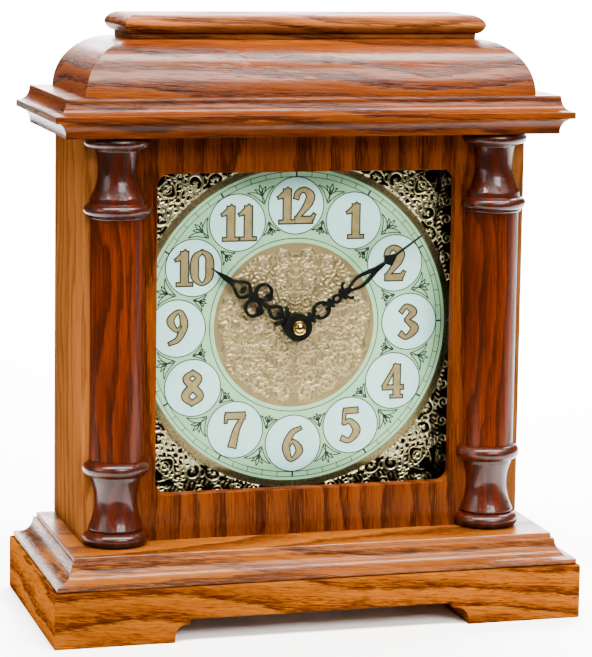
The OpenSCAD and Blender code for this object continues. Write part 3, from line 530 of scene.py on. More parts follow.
# Spacer and cap: a thin dark board, then a cap with a hollow below a sharp arris and a soft
# round above it.
spacer_edge = np.array([[0.3, 0], [0, 0.3], [0, spacer_high[2] - spacer_low[2]]])
spacer_rings = moulding(spacer_low, spacer_high, spacer_edge)
oak_cap = oak("lacquered_oak_cap", "74401a", "5e2e0a", "280c00", ring=8.0, pith=(15, 50), slope=0.05,
    coat=0.05)
spacer = put_mesh("oak_spacer", spacer_rings, lidded(spacer_rings))
finish_oak(spacer, oak_cap, "x", 8, "bonnet_spacer")

cap_low, cap_high = node_box("cap_board")
cap_h = cap_high[2] - cap_low[2]
cap_reach = spacer_low[0] - cap_low[0]
cap_arris = 4.0
lean = np.linspace(0, math.pi / 3, 9)
cap_section = soften(np.vstack([
    np.column_stack([
        cap_reach * (1 - np.sin(lean) / math.sin(math.pi / 3)),
        cap_arris * (1 - np.cos(lean)) / (1 - math.cos(math.pi / 3))]),
    np.column_stack([
        (cap_reach + 0.5) * (1 - np.cos(lean)) / (1 - math.cos(math.pi / 3)),
        cap_arris + (cap_h - cap_arris) * np.sin(lean) / math.sin(math.pi / 3)])[1:],
]), 0.3)
cap_rings = moulding(cap_low, cap_high, cap_section)
cap = put_mesh("oak_cap", cap_rings, lidded(cap_rings))
finish_oak(cap, oak_cap, "mitre", 9, "cap_board")


# Columns: each is three pieces of dark oak turned on a lathe and split down the middle, then
# glued flat on the face: a foot and a capital with round rings and a waisted neck, and a shaft.
def split_turning(section, x, y, z, steps=72):
    """Rings of a turned piece cut in half: the section's radius swept over the half circle that
    faces front. The last point of each ring joins the first across the flat back."""
    angle = np.linspace(math.pi, 2 * math.pi, steps)[None, :]
    radius, height = section[:, :1], section[:, 1:]
    return np.stack(np.broadcast_arrays(
        x + radius * np.cos(angle), y + radius * np.sin(angle), z + height), -1)


def ring_round(radius, low, high, steps=14):
    """A turned ring: a half circle between two heights, radius away from the middle."""
    t = np.linspace(-math.pi / 2, math.pi / 2, steps)
    half = (high - low) / 2
    return np.column_stack([radius - half + half * np.cos(t), (low + high) / 2 + half * np.sin(t)])


def neck(start, waist, end, steps=16):
    """A hollow neck: two parabolas that leave the waist upright, each given as radius, height."""
    (r0, z0), (rw, zw), (r1, z1) = start, waist, end
    low, high = np.linspace(z0, zw, steps), np.linspace(zw, z1, steps)[1:]
    return np.vstack([
        np.column_stack([rw + (r0 - rw) * ((zw - low) / (zw - z0)) ** 2, low]),
        np.column_stack([rw + (r1 - rw) * ((high - zw) / (z1 - zw)) ** 2, high])])


oak_turned = oak("gloss_dark_oak_turnings", "320c02", "200500", "0a0200", ring=6.0, pith=(5, 12),
    slope=0.03, gloss=0.07, coat=0.5)
oak_shaft = oak("lacquered_oak_shafts", "461602", "320c00", "110300", ring=6.0, pith=(8, 14),
    slope=0.02, gloss=0.14, coat=0.15)
for side, seed in (("left", 10), ("right", 20)):
    capital_low, capital_high = node_box(f"column_capital_{side}")
    foot_low, foot_high = node_box(f"column_base_{side}")
    shaft_low, shaft_high = node_box(f"column_shaft_{side}")
    column_x = (capital_low[0] + capital_high[0]) / 2
    face_y = capital_high[1]
    ring_r = (capital_high[0] - capital_low[0]) / 2
    shaft_r = (shaft_high[0] - shaft_low[0]) / 2
    h = capital_high[2] - capital_low[2]
    capital_section = soften(np.vstack([
        [[shaft_r + 0.7, 0], [shaft_r + 1, 0.3], [shaft_r + 1, 1.2]],
        ring_round(ring_r, 1.2, 7.2),
        neck((shaft_r + 0.3, 9.8), (9.5, h * 0.58), (10.6, h - 6.8)),
        ring_round(ring_r - 0.15, h - 5.6, h)]), 0.3, 3)
    h = foot_high[2] - foot_low[2]
    foot_section = soften(np.vstack([
        ring_round(ring_r, 0, 7),
        neck((13.7, 8.2), (10.5, h * 0.53), (12.4, h - 9.4)),
        ring_round(ring_r - 0.1, h - 7.7, h)]), 0.3, 3)
    shaft_section = np.column_stack([
        np.full(13, shaft_r), np.linspace(0, shaft_high[2] - shaft_low[2], 13)])
    for part, section, low, material, slot in (
        ("capital", capital_section, capital_low, oak_turned, "oak_turned"),
        ("shaft", shaft_section, shaft_low, oak_shaft, "oak_shaft"),
        ("base", foot_section, foot_low, oak_turned, "oak_turned"),
    ):
        rings = split_turning(section, column_x, face_y, low[2])
        turning = put_mesh(f"turned_{part}_{side}", rings, lidded(rings))
        seed += 1
        finish_oak(turning, material, "z", seed, f"column_{part}_{side}")


# Dial plate: thin sheet brass with a satin finish, held behind the glass by the glazing frame.
# Everything printed or stamped on it is placed by right, up and height off its surface, in mm.
plate_low, plate_high = node_box("dial_plate")
nut_low, nut_high = node_box("hand_nut")
axis_x = (nut_low[0] + nut_high[0]) / 2
axis_z = (nut_low[2] + nut_high[2]) / 2
plate_face = plate_low[1]


def on_dial(right, up, height):
    """Points on the dial from their place right of and above its axis, and off its surface."""
    return np.stack(np.broadcast_arrays(axis_x + right, plate_face - height, axis_z + up), -1)


def finish_piece(piece, material, body, slot, *nodes):
    """Gives a piece its material and body, and says which CAD nodes it stands for."""
    piece.data.materials.append(material)
    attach(piece, body)
    if nodes:
        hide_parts(*nodes)


def brushed_metal(name, shade, dark, rough, grit=6.0, mottle=0.08):
    """Sheet metal with a satin or polished face: a faint mottle of tarnish, and fine grit that
    breaks its glints. grit is in grains a millimetre."""
    material, shader = new_material(name)
    place = add_node(material, "ShaderNodeTexCoord")
    tarnish = add_node(material, "ShaderNodeTexNoise", {
        "Vector": place.outputs["Object"], "Scale": mottle * MM, "Detail": 4.0})
    colour = add_node(material, "ShaderNodeValToRGB", {"Fac": tarnish.outputs["Fac"]}, stops=[
        (0.3, dark), (0.65, shade)])
    grain = add_node(material, "ShaderNodeTexNoise", {
        "Vector": place.outputs["Object"], "Scale": grit * MM, "Detail": 2.0})
    spread = add_node(material, "ShaderNodeMapRange", {
        "Value": grain.outputs["Fac"], "To Min": rough * 0.75, "To Max": rough * 1.3})
    relief = add_node(material, "ShaderNodeBump", {
        "Strength": 0.15, "Distance": 0.00002, "Height": grain.outputs["Fac"]})
    for output, socket in ((colour, "Base Color"), (spread, "Roughness"), (relief, "Normal")):
        material.node_tree.links.new(output.outputs[0], shader.inputs[socket])
    shader.inputs["Metallic"].default_value = 1.0
    return material


plate_rings = beam(
    np.array([plate_low[0], plate_high[0]]), np.full(2, plate_low[2]), np.full(2, plate_high[2]),
    np.full(2, plate_low[1]), np.full(2, plate_high[1]), 0.15, 3)
dial_ground = put_mesh("satin_brass_dial_plate", plate_rings, lidded(plate_rings))
satin_brass = brushed_metal("satin_bronzed_brass", "c9a878", "8a6a48", 0.34)
finish_piece(dial_ground, satin_brass, "case", "dial_metal", "dial_plate")


# Stamped corners: foliate scrolls raised from the plate in each corner, bright on the ridges
# and blackened in the hollows. A shield sits in each corner, and each corner mirrors itself
# about its own diagonal.
def scroll(middle, radius, begin, turns, hand, width):
    """Points and half widths of a spiral that winds in to its eye and swells there."""
    t = np.linspace(0, 1, 90)[:, None]
    angle = np.radians(begin) + hand * 2 * math.pi * turns * t
    reach = radius * (1 - t) ** 0.8 + 0.35
    line = np.array(middle) + reach * np.hstack([np.cos(angle), np.sin(angle)])
    swell = width * (0.55 + 0.45 * np.sin(math.pi * np.clip(t * 1.2, 0, 1)) + 0.55 * t**8)
    return np.hstack([line, swell])


def lobes(stem, every, length, lean, width, side):
    """Leaf lobes off a stem: short curved strokes that leave it every few points to one side."""
    root = stem[4:-6:every]
    run = stem[6:-4:every, :2] - stem[2:-8:every, :2]
    run = run[: len(root)] / (np.linalg.norm(run[: len(root)], axis=1, keepdims=True) + 1e-9)
    off = side * np.column_stack([-run[:, 1], run[:, 0]])
    t = np.linspace(0.1, 1, 10)[None, :, None]
    shrink = np.linspace(1, 0.45, len(root))[:, None, None]
    path = root[:, None, :2] + length * shrink * (off[:, None] * t + lean * run[:, None] * t**2)
    swell = width * np.sin(math.pi * (0.15 + 0.8 * t)) * np.ones_like(path[..., :1])
    return np.concatenate([path, swell], -1).reshape(-1, 3)


def raised(right, up, strokes):
    """Height from 0 to 1 over a set of rounded strokes, each point of which has its own half
    width: one less the square of the distance over the half width, at the nearest stroke."""
    points = np.column_stack([right.ravel(), up.ravel()])
    best = np.zeros(len(points))
    for part in np.array_split(strokes, max(1, len(strokes) // 12)):
        low, high = (part[:, :2] - part[:, 2:]).min(0), (part[:, :2] + part[:, 2:]).max(0)
        near = np.flatnonzero(np.all((points > low) & (points < high), axis=1))
        gap = ((points[near, None] - part[None, :, :2]) ** 2).sum(-1) / part[None, :, 2] ** 2
        best[near] = np.maximum(best[near], 1 - gap.min(1))
    return np.sqrt(best).reshape(right.shape)


def stamped(name, right, up, height, level, rise, close, material, tint=None):
    """A stamped sheet: its front is a grid lifted by rise times the height field, its rim goes
    down to the plate, and its back is flat. Its patina follows the height, or tint if given."""
    tint = height if tint is None else tint
    inner = on_dial(right, up, level + rise * height)
    rim = on_dial(right, up, np.zeros_like(right))
    rows, cols = right.shape
    front = weave(rows, cols, close)
    back = front[..., ::-1] + rows * cols
    edge = np.arange(cols if close else cols - 1)
    after = (edge + 1) % cols
    skirts = []
    for row, turn in ((0, 1), (rows - 1, -1)):
        above, below = row * cols, (rows + row) * cols
        strip = np.stack([above + after, above + edge, below + edge, below + after], -1)
        skirts.append(strip[:, ::turn])
    if not close:
        step = np.arange(rows - 1) * cols
        for col, turn in ((0, -1), (cols - 1, 1)):
            low = step + col
            strip = np.stack([low + cols, low, low + rows * cols, low + cols + rows * cols], -1)
            skirts.append(strip[:, ::turn])
    piece = put_mesh(name, np.concatenate([inner.reshape(-1, 3), rim.reshape(-1, 3)]),
        [front, back, *skirts], sharp=70, even=False)
    layer = piece.data.attributes.new("relief", "FLOAT", "POINT")
    layer.data.foreach_set("value", np.concatenate([tint.ravel(), np.zeros(height.size)]))
    finish_piece(piece, material, "case", "dial_metal")
    return piece


def patinated(name, stops, rough, metallic=1.0):
    """Stamped brass with patina: the colour follows the height, dark in the hollows where the
    polish never reaches and bright on the rubbed ridges."""
    material, shader = new_material(name)
    height = add_node(material, "ShaderNodeAttribute", attribute_name="relief")
    place = add_node(material, "ShaderNodeTexCoord")
    tarnish = add_node(material, "ShaderNodeTexNoise", {
        "Vector": place.outputs["Object"], "Scale": 0.9 * MM, "Detail": 3.0})
    worn = add_node(material, "ShaderNodeMath", {
        0: tarnish.outputs["Fac"], 1: 0.25, 2: height.outputs["Fac"]}, operation="MULTIPLY_ADD")
    colour = add_node(material, "ShaderNodeValToRGB", {"Fac": worn.outputs[0]}, stops=stops)
    dull = add_node(material, "ShaderNodeMapRange", {
        "Value": height.outputs["Fac"], "To Min": rough + 0.2, "To Max": rough})
    for output, socket in ((colour, "Base Color"), (dull, "Roughness")):
        material.node_tree.links.new(output.outputs[0], shader.inputs[socket])
    shader.inputs["Metallic"].default_value = metallic
    return material


# One half of the corner, measured in from the plate's visible corner: x along one edge, y along
# the other. The other half is the same with x and y swapped.
scrolls = [
    scroll((23.0, 6.2), 5.6, 200, 1.6, -1, 0.95),
    scroll((13.0, 19.5), 4.6, 60, 1.5, 1, 0.85),
    scroll((34.5, 5.5), 4.4, 170, 1.4, 1, 0.75),
    scroll((31.0, 13.5), 4.0, 250, 1.5, -1, 0.75),
    scroll((21.5, 14.6), 3.2, 20, 1.4, -1, 0.65),
    scroll((43.5, 4.0), 3.6, 200, 1.3, -1, 0.65),
    scroll((15.5, 3.4), 2.8, 250, 1.3, 1, 0.6),
    scroll((52.0, 3.4), 2.8, 180, 1.3, 1, 0.55),
    scroll((20.3, 21.6), 3.0, 225, 1.2, 1, 0.7),
]
around = np.linspace(0, 2 * math.pi, 60)
shield = np.column_stack([
    9.3 + 4.3 * np.cos(around) + 0.9 * np.sin(2 * around),
    9.3 + 4.3 * np.sin(around) + 0.9 * np.sin(2 * around),
    np.full(60, 0.55)])
shield_curl = scroll((9.3, 9.3), 2.3, 45, 1.2, 1, 0.6)
vein = np.linspace(0, 1, 80)
stem = np.column_stack([6 + 56 * vein, 2.2 + 15 * np.sin(math.pi * vein) ** 2 * (1 - vein), 0.5 + 0 * vein])
leaves = [lobes(s, 6, 2.4, 0.7, 0.62, hand) for s, hand in zip(scrolls, (1, -1, -1, 1, 1, 1, -1, -1, -1))]
fringe = lobes(stem, 4, 4.6, 0.5, 0.6, 1)
quill = np.column_stack([64 * vein - 2, -2.5 - 1.5 * np.sin(9 * vein), 0 * vein])
feathers = lobes(quill, 3, 4.6, 0.6, 0.6, 1)
edge_scrolls = [
    scroll((8.0 + 9.5 * k, -3.4 - 0.5 * (k % 2)), 2.6, 40 + 140 * (k % 2), 1.3, 1 - 2 * (k % 2), 0.6)
    for k in range(6)]
half_corner = np.vstack([*scrolls, *leaves, shield, shield_curl, stem, fringe, feathers, *edge_scrolls])
corner_strokes = np.vstack([half_corner, half_corner[:, [1, 0, 2]]])

seen_half = np.array([82.0, 85.0])
ring_edge = 79.0
smooth_tint = 0.7
bright_relief = patinated("patinated_stamped_brass", [
    (0.14, "0e0a05"), (0.5, "30240f"), (0.8, "7a6442"), (1.1, "d0bd96")], 0.26)
angle = np.linspace(0.004, math.pi / 2 - 0.004, 250)[None, :]
reach_out = np.minimum(seen_half[0] / np.cos(angle), seen_half[1] / np.sin(angle))
out = ring_edge + (reach_out - ring_edge) * np.linspace(0, 1, 105)[:, None]
right, up = out * np.cos(angle), out * np.sin(angle)
stamping = np.clip((out - 81.8) / 1.0, 0, 1)
rise = raised(75.0 - right, 78.2 - up, corner_strokes) * stamping
tint = rise + smooth_tint * (1 - stamping)
for name, sx, sz in (("tl", -1, 1), ("tr", 1, 1), ("bl", -1, -1), ("br", 1, -1)):
    stamped(f"stamped_corner_{name}", sx * right, sz * up, rise, 0.04, 0.75, False, bright_relief, tint)


# Gold centre: a disc of stamped gilt brass inside the numeral ring, its scrolls the same left
# and right.
centre_r = 41.2
centre_scrolls = []
scroll_rows = ((35.0, 9, 4.6, -80), (27.5, 7, 4.3, -74), (20.0, 5, 4.2, -72), (12.6, 3, 4.0, -62))
for out, count, size, begin in scroll_rows:
    for k, angle in enumerate(np.radians(np.linspace(begin, -begin, count))):
        hand = -1 if k % 2 else 1
        eye = (out * math.cos(angle), out * math.sin(angle))
        centre_scrolls.append(scroll(eye, size, math.degrees(angle) + 90 * hand, 1.6, hand, 0.62))
centre_leaves = [lobes(s, 5, 2.1, 0.8, 0.5, -1 if k % 2 else 1) for k, s in enumerate(centre_scrolls)]
centre_leaves += [lobes(s, 9, 1.5, -0.6, 0.45, 1 if k % 2 else -1) for k, s in enumerate(centre_scrolls)]
spine = np.column_stack([0 * vein, -38 + 76 * vein, 0.5 + 0 * vein])
spine_leaves = lobes(spine, 4, 3.4, 0.8, 0.55, -1)
turn = np.linspace(-math.pi / 2, math.pi / 2, 150)
wreaths = []
for k, reach in enumerate((7.5, 16.0, 23.5, 31.5, 36.5)):
    wave = reach + 1.3 * np.sin(8 * turn)
    wreath = np.column_stack([wave * np.cos(turn), wave * np.sin(turn), 0.4 + 0 * turn])
    wreaths += [lobes(wreath, 3 + (4 - k), 2.6 + 0.5 * (k % 2), 0.9, 0.5, side) for side in (1, -1)]
centre_strokes = np.vstack([*centre_scrolls, *centre_leaves, spine_leaves, *wreaths])
centre_angle = np.linspace(0, 2 * math.pi, 400, endpoint=False)[None, :]
centre_out = np.linspace(0.6, centre_r, 118)[:, None]
right, up = centre_out * np.cos(centre_angle), centre_out * np.sin(centre_angle)
rise = raised(np.abs(right), up, centre_strokes) * np.clip((40.0 - centre_out) / 1.0, 0, 1)
gilt = patinated("stamped_gilt_brass", [
    (0.1, "947b58"), (0.5, "9a815e"), (0.9, "a68c68"), (1.1, "b79d78")], 0.3, 0.9)
stamped("stamped_gold_centre", right, up, rise, 0.1, 0.8, True, gilt)


# Numeral ring: pale mint enamel laid on the plate between two circles, with twelve white discs.
def enamel(name, shade, deep, rough):
    """Screen-printed enamel: an even coat with the slightest cloud in it and a soft gloss."""
    material, shader = new_material(name)
    place = add_node(material, "ShaderNodeTexCoord")
    cloud = add_node(material, "ShaderNodeTexNoise", {
        "Vector": place.outputs["Object"], "Scale": 0.12 * MM, "Detail": 3.0})
    colour = add_node(material, "ShaderNodeValToRGB", {"Fac": cloud.outputs["Fac"]}, stops=[
        (0.25, deep), (0.7, shade)])
    peel = add_node(material, "ShaderNodeTexNoise", {
        "Vector": place.outputs["Object"], "Scale": 1.5 * MM, "Detail": 2.0})
    ripple = add_node(material, "ShaderNodeBump", {
        "Strength": 0.08, "Distance": 0.00003, "Height": peel.outputs["Fac"]})
    for output, socket in ((colour, "Base Color"), (ripple, "Normal")):
        material.node_tree.links.new(output.outputs[0], shader.inputs[socket])
    shader.inputs["Roughness"].default_value = rough
    shader.inputs["Coat Weight"].default_value = 0.2
    shader.inputs["Coat Roughness"].default_value = 0.25
    return material


def spun(section, middle=(0.0, 0.0), steps=96):
    """A round piece on the dial: a section of radius, height swept round a middle point. Its
    first and last points are joined, or closed by lids where it doesn't come back to itself."""
    angle = np.linspace(0, 2 * math.pi, steps, endpoint=False)[None, :]
    section = np.asarray(section, float)
    return on_dial(
        middle[0] + section[:, :1] * np.cos(angle), middle[1] + section[:, :1] * np.sin(angle),
        section[:, 1:] + 0 * angle)


def washer_section(inner, outer, low, high):
    """A flat ring's section: four corners, the top ones just eased."""
    e = min(0.02, (high - low) / 3)
    return np.array([[inner, low], [outer, low], [outer, high - e], [outer - e, high],
        [inner + e, high], [inner, high - e]])


def join(rings_list, loop=True):
    """Points and quads of several closed rings of rings put into one mesh."""
    points, quads, count = [], [], 0
    for rings in rings_list:
        rows, cols = rings.shape[:2]
        quads.append(weave(rows, cols, round_rows=loop).reshape(-1, 4) + count)
        points.append(rings.reshape(-1, 3))
        count += rows * cols
    return np.vstack(points), [np.vstack(quads)]


ring_out = 78.6
mint_top, disc_top, ink_top = 0.12, 0.2, 0.26
mint_ring = put_mesh("mint_enamel_ring", *join([spun(
    washer_section(centre_r, ring_out, 0, mint_top), steps=240)]), even=False)
mint = enamel("mint_enamel", "a2cca4", "96c098", 0.35)
finish_piece(mint_ring, mint, "case", "dial_metal")

disc_r, disc_at = 14.2, 59.7
hours = np.radians(90 - 30 * np.arange(1, 13))
disc_middles = disc_at * np.column_stack([np.cos(hours), np.sin(hours)])
disc_rings = [spun(washer_section(0.02, disc_r, mint_top - 0.03, disc_top), m) for m in disc_middles]
discs = put_mesh("white_enamel_discs", *join(disc_rings), even=False)
white = enamel("white_enamel", "ccf2f6", "c2eaf0", 0.3)
finish_piece(discs, white, "case", "dial_metal")


# Printed lines: dark green ink for the circles, the minute track and the small palmettes that
# fill the gaps between the discs.
def bar(path, width, low, high, closed=False):
    """A flat bar along a path of right, up points: its four edges lie half a width to each side,
    and it may close on itself. Width is one number or one for each point."""
    path = np.asarray(path, float)
    run = np.gradient(path, axis=0) if not closed else np.roll(path, -1, 0) - np.roll(path, 1, 0)
    run /= np.linalg.norm(run, axis=1, keepdims=True) + 1e-9
    side = np.column_stack([-run[:, 1], run[:, 0]]) * np.reshape(width, (-1, 1)) / 2
    left, right = path + side, path - side
    edges = [(left, low), (right, low), (right, high), (left, high)]
    return np.stack([on_dial(p[:, 0], p[:, 1], h) for p, h in edges], 1)


def printed(name, bars, loops, material, body="case", slot="dial_metal", nodes=()):
    """One mesh of many bars: open ones with their ends closed, and loops that close themselves."""
    points, quads, count = [], [], 0
    for rings, loop in [(b, False) for b in bars] + [(b, True) for b in loops]:
        rows, cols = rings.shape[:2]
        quads.append(weave(rows, cols, round_rows=loop).reshape(-1, 4) + count)
        if not loop:
            lid = np.arange(4)[None, :] + count
            quads += [lid[:, ::-1], lid + (rows - 1) * cols]
        points.append(rings.reshape(-1, 3))
        count += rows * cols
    piece = put_mesh(name, np.vstack(points), [np.vstack(quads)], sharp=40, even=False)
    finish_piece(piece, material, body, slot, *nodes)
    return piece


def circle(radius, middle=(0, 0), steps=180):
    """Points round a circle on the dial."""
    t = np.linspace(0, 2 * math.pi, steps, endpoint=False)
    return np.column_stack([middle[0] + radius * np.cos(t), middle[1] + radius * np.sin(t)])


def leaf(root, heading, length, width, curl):
    """A leaf's outline: a middle line that bends away by curl, and two edges that bulge from it
    by a sine and meet at the root and the tip."""
    t = np.linspace(0, 1, 14)
    bend = heading + curl * t
    middle = root + length * t[:, None] * np.column_stack([np.cos(bend), np.sin(bend)])
    run = np.gradient(middle, axis=0)
    run /= np.linalg.norm(run, axis=1, keepdims=True)
    bulge = width / 2 * np.sin(math.pi * t**0.8)[:, None] * np.column_stack([-run[:, 1], run[:, 0]])
    return np.vstack([middle + bulge, (middle - bulge)[-2:0:-1]])


def palmette(at, direction, leaves):
    """A spray of leaves from one root; each is an angle off the middle, length, width and curl."""
    root = at * np.array([math.cos(direction[0]), math.sin(direction[0])])
    heading = direction[0] + direction[1]
    return [leaf(root, heading + math.radians(a), l, w, math.radians(c)) for a, l, w, c in leaves]


outer_leaves = [(-2, 10.6, 2.2, -42), (2, 10.6, 2.2, 42)]
spray_leaves = [(-24, 5.0, 1.4, -14), (24, 5.0, 1.4, 14), (0, 5.6, 1.6, 0)]
inner_leaves = [(-3, 7.6, 1.5, -34), (3, 7.6, 1.5, 34)]
sprig_leaves = [(-22, 3.6, 1.1, -10), (22, 3.6, 1.1, 10), (0, 4.0, 1.2, 0)]
line = 0.5
loops = [bar(circle(r, steps=300), w, mint_top - 0.02, ink_top, True) for r, w in (
    (43.4, 0.4), (74.1, 0.32), (76.6, 0.32), (78.5, 0.3))]
loops += [bar(circle(disc_r, m, 90), 0.5, mint_top - 0.02, ink_top + 0.01, True) for m in disc_middles]
for k in range(12):
    between = math.radians(15 + 30 * k)
    sprays = palmette(62.6, (between, 0.0), outer_leaves) + palmette(67.2, (between, 0.0), spray_leaves)
    sprays += palmette(53.8, (between, math.pi), inner_leaves)
    sprays += palmette(50.6, (between, math.pi), sprig_leaves)
    loops += [bar(spray, line, mint_top - 0.02, ink_top, True) for spray in sprays]
ticks = []
for minute in range(60):
    way = math.radians(6 * minute)
    spoke = np.array([math.cos(way), math.sin(way)])
    thick = 0.95 if minute % 5 == 0 else 0.34
    ticks.append(bar(np.array([[74.1], [75.3], [76.7]]) * spoke, thick, mint_top - 0.02, ink_top + 0.005))
ink = enamel("dark_green_ink", "0a140b", "060d07", 0.5)
printed("printed_lines_and_palmettes", ticks, loops, ink)


# Numerals: old-style figures printed in gold over a slightly wider black, so that a thin black
# line shows all round. Each stroke is a soft curve through points of x, y and width.
def stroke(points, steps=9):
    """A smooth curve through points, three columns at a time: the cubic that passes each point
    with the slope of its two neighbours."""
    p = np.asarray(points, float)
    if len(p) == 2:
        return p[0] + (p[1] - p[0]) * np.linspace(0, 1, steps)[:, None]
    ends = np.vstack([2 * p[0] - p[1], p, 2 * p[-1] - p[-2]])
    a, b, c, d = ends[:-3, None], ends[1:-2, None], ends[2:-1, None], ends[3:, None]
    t = np.linspace(0, 1, steps, endpoint=False)[None, :, None]
    curve = 0.5 * (2 * b + (c - a) * t + (2 * a - 5 * b + 4 * c - d) * t**2 + (3 * b - a - 3 * c + d) * t**3)
    return np.vstack([curve.reshape(-1, p.shape[1]), p[-1:]])


figures = {
    "0": [[(0.30, 0.97, 0.05), (0.12, 0.80, 0.15), (0.09, 0.50, 0.19), (0.12, 0.20, 0.15), (0.30, 0.03, 0.05),
        (0.48, 0.20, 0.15), (0.51, 0.50, 0.19), (0.48, 0.80, 0.15), (0.30, 0.97, 0.05)]],
    "1": [[(0.30, 0.02, 0.19), (0.30, 0.96, 0.19)],
        [(0.05, 0.73, 0.04), (0.18, 0.80, 0.11), (0.35, 0.97, 0.10)],
        [(0.09, 0.03, 0.07), (0.51, 0.03, 0.07)]],
    "2": [[(0.07, 0.70, 0.12), (0.12, 0.86, 0.12), (0.29, 0.95, 0.10), (0.46, 0.79, 0.19), (0.42, 0.58, 0.19),
        (0.26, 0.34, 0.12), (0.08, 0.12, 0.07)], [(0.05, 0.08, 0.16), (0.52, 0.08, 0.16)],
        [(0.50, 0.10, 0.10), (0.58, 0.24, 0.05)]],
    "3": [[(0.07, 0.78, 0.10), (0.22, 0.95, 0.09), (0.42, 0.78, 0.17), (0.22, 0.55, 0.07)],
        [(0.22, 0.55, 0.07), (0.47, 0.30, 0.19), (0.24, 0.04, 0.09), (0.06, 0.15, 0.13)]],
    "4": [[(0.40, 0.97, 0.06), (0.05, 0.32, 0.09)], [(0.03, 0.30, 0.10), (0.60, 0.30, 0.10)],
        [(0.42, 0.02, 0.17), (0.42, 0.96, 0.17)], [(0.25, 0.03, 0.06), (0.58, 0.03, 0.06)]],
    "5": [[(0.12, 0.92, 0.13), (0.50, 0.94, 0.13)], [(0.13, 0.92, 0.06), (0.11, 0.55, 0.06)],
        [(0.11, 0.56, 0.07), (0.30, 0.61, 0.11), (0.48, 0.34, 0.18), (0.28, 0.05, 0.10), (0.06, 0.12, 0.12)]],
    "6": [[(0.52, 0.94, 0.06), (0.27, 0.80, 0.12), (0.12, 0.42, 0.18), (0.18, 0.10, 0.12), (0.31, 0.03, 0.07),
        (0.49, 0.28, 0.16), (0.32, 0.55, 0.07), (0.16, 0.42, 0.06)]],
    "7": [[(0.04, 0.91, 0.16), (0.56, 0.91, 0.16)], [(0.05, 0.92, 0.05), (0.04, 0.72, 0.05)],
        [(0.54, 0.92, 0.07), (0.34, 0.50, 0.14), (0.22, 0.00, 0.20)]],
    "8": [[(0.28, 0.96, 0.09), (0.47, 0.78, 0.13), (0.32, 0.56, 0.18), (0.10, 0.27, 0.17), (0.30, 0.03,
        0.09)],
        [(0.26, 0.03, 0.09), (0.51, 0.25, 0.15), (0.32, 0.52, 0.16), (0.12, 0.77, 0.14), (0.32, 0.96, 0.09)]],
}
figures["9"] = [[(0.60 - x, 1 - y, w) for x, y, w in figures["6"][0]]]
figure_w, figure_h = 18.4, 17.2
advance = {"1": 0.48, "0": 0.62, "2": 0.62}
outline_more = 0.085
bold = 1.06
gold_bars, black_bars = [], []
for hour, middle in zip(range(1, 13), disc_middles):
    digits = str(hour)
    wide = sum(advance.get(d, 0.60) for d in digits)
    start = -wide / 2
    for digit in digits:
        for lift, points in enumerate(figures[digit]):
            curve = stroke(points)
            path = (curve[:, :2] + [start, -0.5]) * [figure_w, figure_h] + middle
            top = disc_top + 0.06 + 0.004 * lift
            gold_bars.append(bar(path, curve[:, 2] * bold * figure_h, disc_top - 0.02, top + 0.06))
            run = np.gradient(path, axis=0)[[0, -1]]
            run /= np.linalg.norm(run, axis=1, keepdims=True)
            path[[0, -1]] += run * [[-1], [1]] * outline_more * figure_h / 2
            black_bars.append(bar(path, (curve[:, 2] * bold + outline_more) * figure_h, disc_top - 0.02, top))
        start += advance.get(digit, 0.60)
numeral_black = enamel("black_numeral_ink", "14130f", "0e0d0a", 0.35)
numeral_gold = brushed_metal("gold_numeral_foil", "ac9268", "987e56", 0.5, mottle=0.3)
printed("numeral_outlines", black_bars, [], numeral_black)
printed("gold_numerals", gold_bars, [], numeral_gold)


# Glass and glazing frame: a sheet of clear float glass in the rabbet, and a black moulded frame
# that keeps the dial off it.
def finish_nodes(material, *names):
    """Puts a material into the slots of CAD nodes whose shape stays as it is."""
    for name in names:
        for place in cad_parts[name].material_slots:
            place.material = material


clear_glass, _ = new_material("clear_float_glass")
clear = clear_glass.node_tree.nodes.new("ShaderNodeBsdfTransparent")
clear.inputs["Color"].default_value = linear("f7fbf8")
sheen = add_node(clear_glass, "ShaderNodeBsdfGlossy", {"Color": linear("ffffff"), "Roughness": 0.03})
edge_on = add_node(clear_glass, "ShaderNodeFresnel", {"IOR": 1.12})
dust_place = add_node(clear_glass, "ShaderNodeTexCoord")
dust = add_node(clear_glass, "ShaderNodeTexNoise", {
    "Vector": dust_place.outputs["Object"], "Scale": 0.05 * MM, "Detail": 5.0})
film = add_node(clear_glass, "ShaderNodeMapRange", {
    "Value": dust.outputs["Fac"], "From Min": 0.3, "From Max": 0.8, "To Min": 0.85, "To Max": 1.15})
shine = add_node(clear_glass, "ShaderNodeMath", {
    0: edge_on.outputs[0], 1: film.outputs[0]}, operation="MULTIPLY")
mixed = add_node(clear_glass, "ShaderNodeMixShader", {
    "Fac": shine.outputs[0], 1: clear.outputs[0], 2: sheen.outputs[0]})
clear_glass.node_tree.links.new(
    mixed.outputs[0], clear_glass.node_tree.nodes["Material Output"].inputs["Surface"])
finish_nodes(clear_glass, "glass_pane")


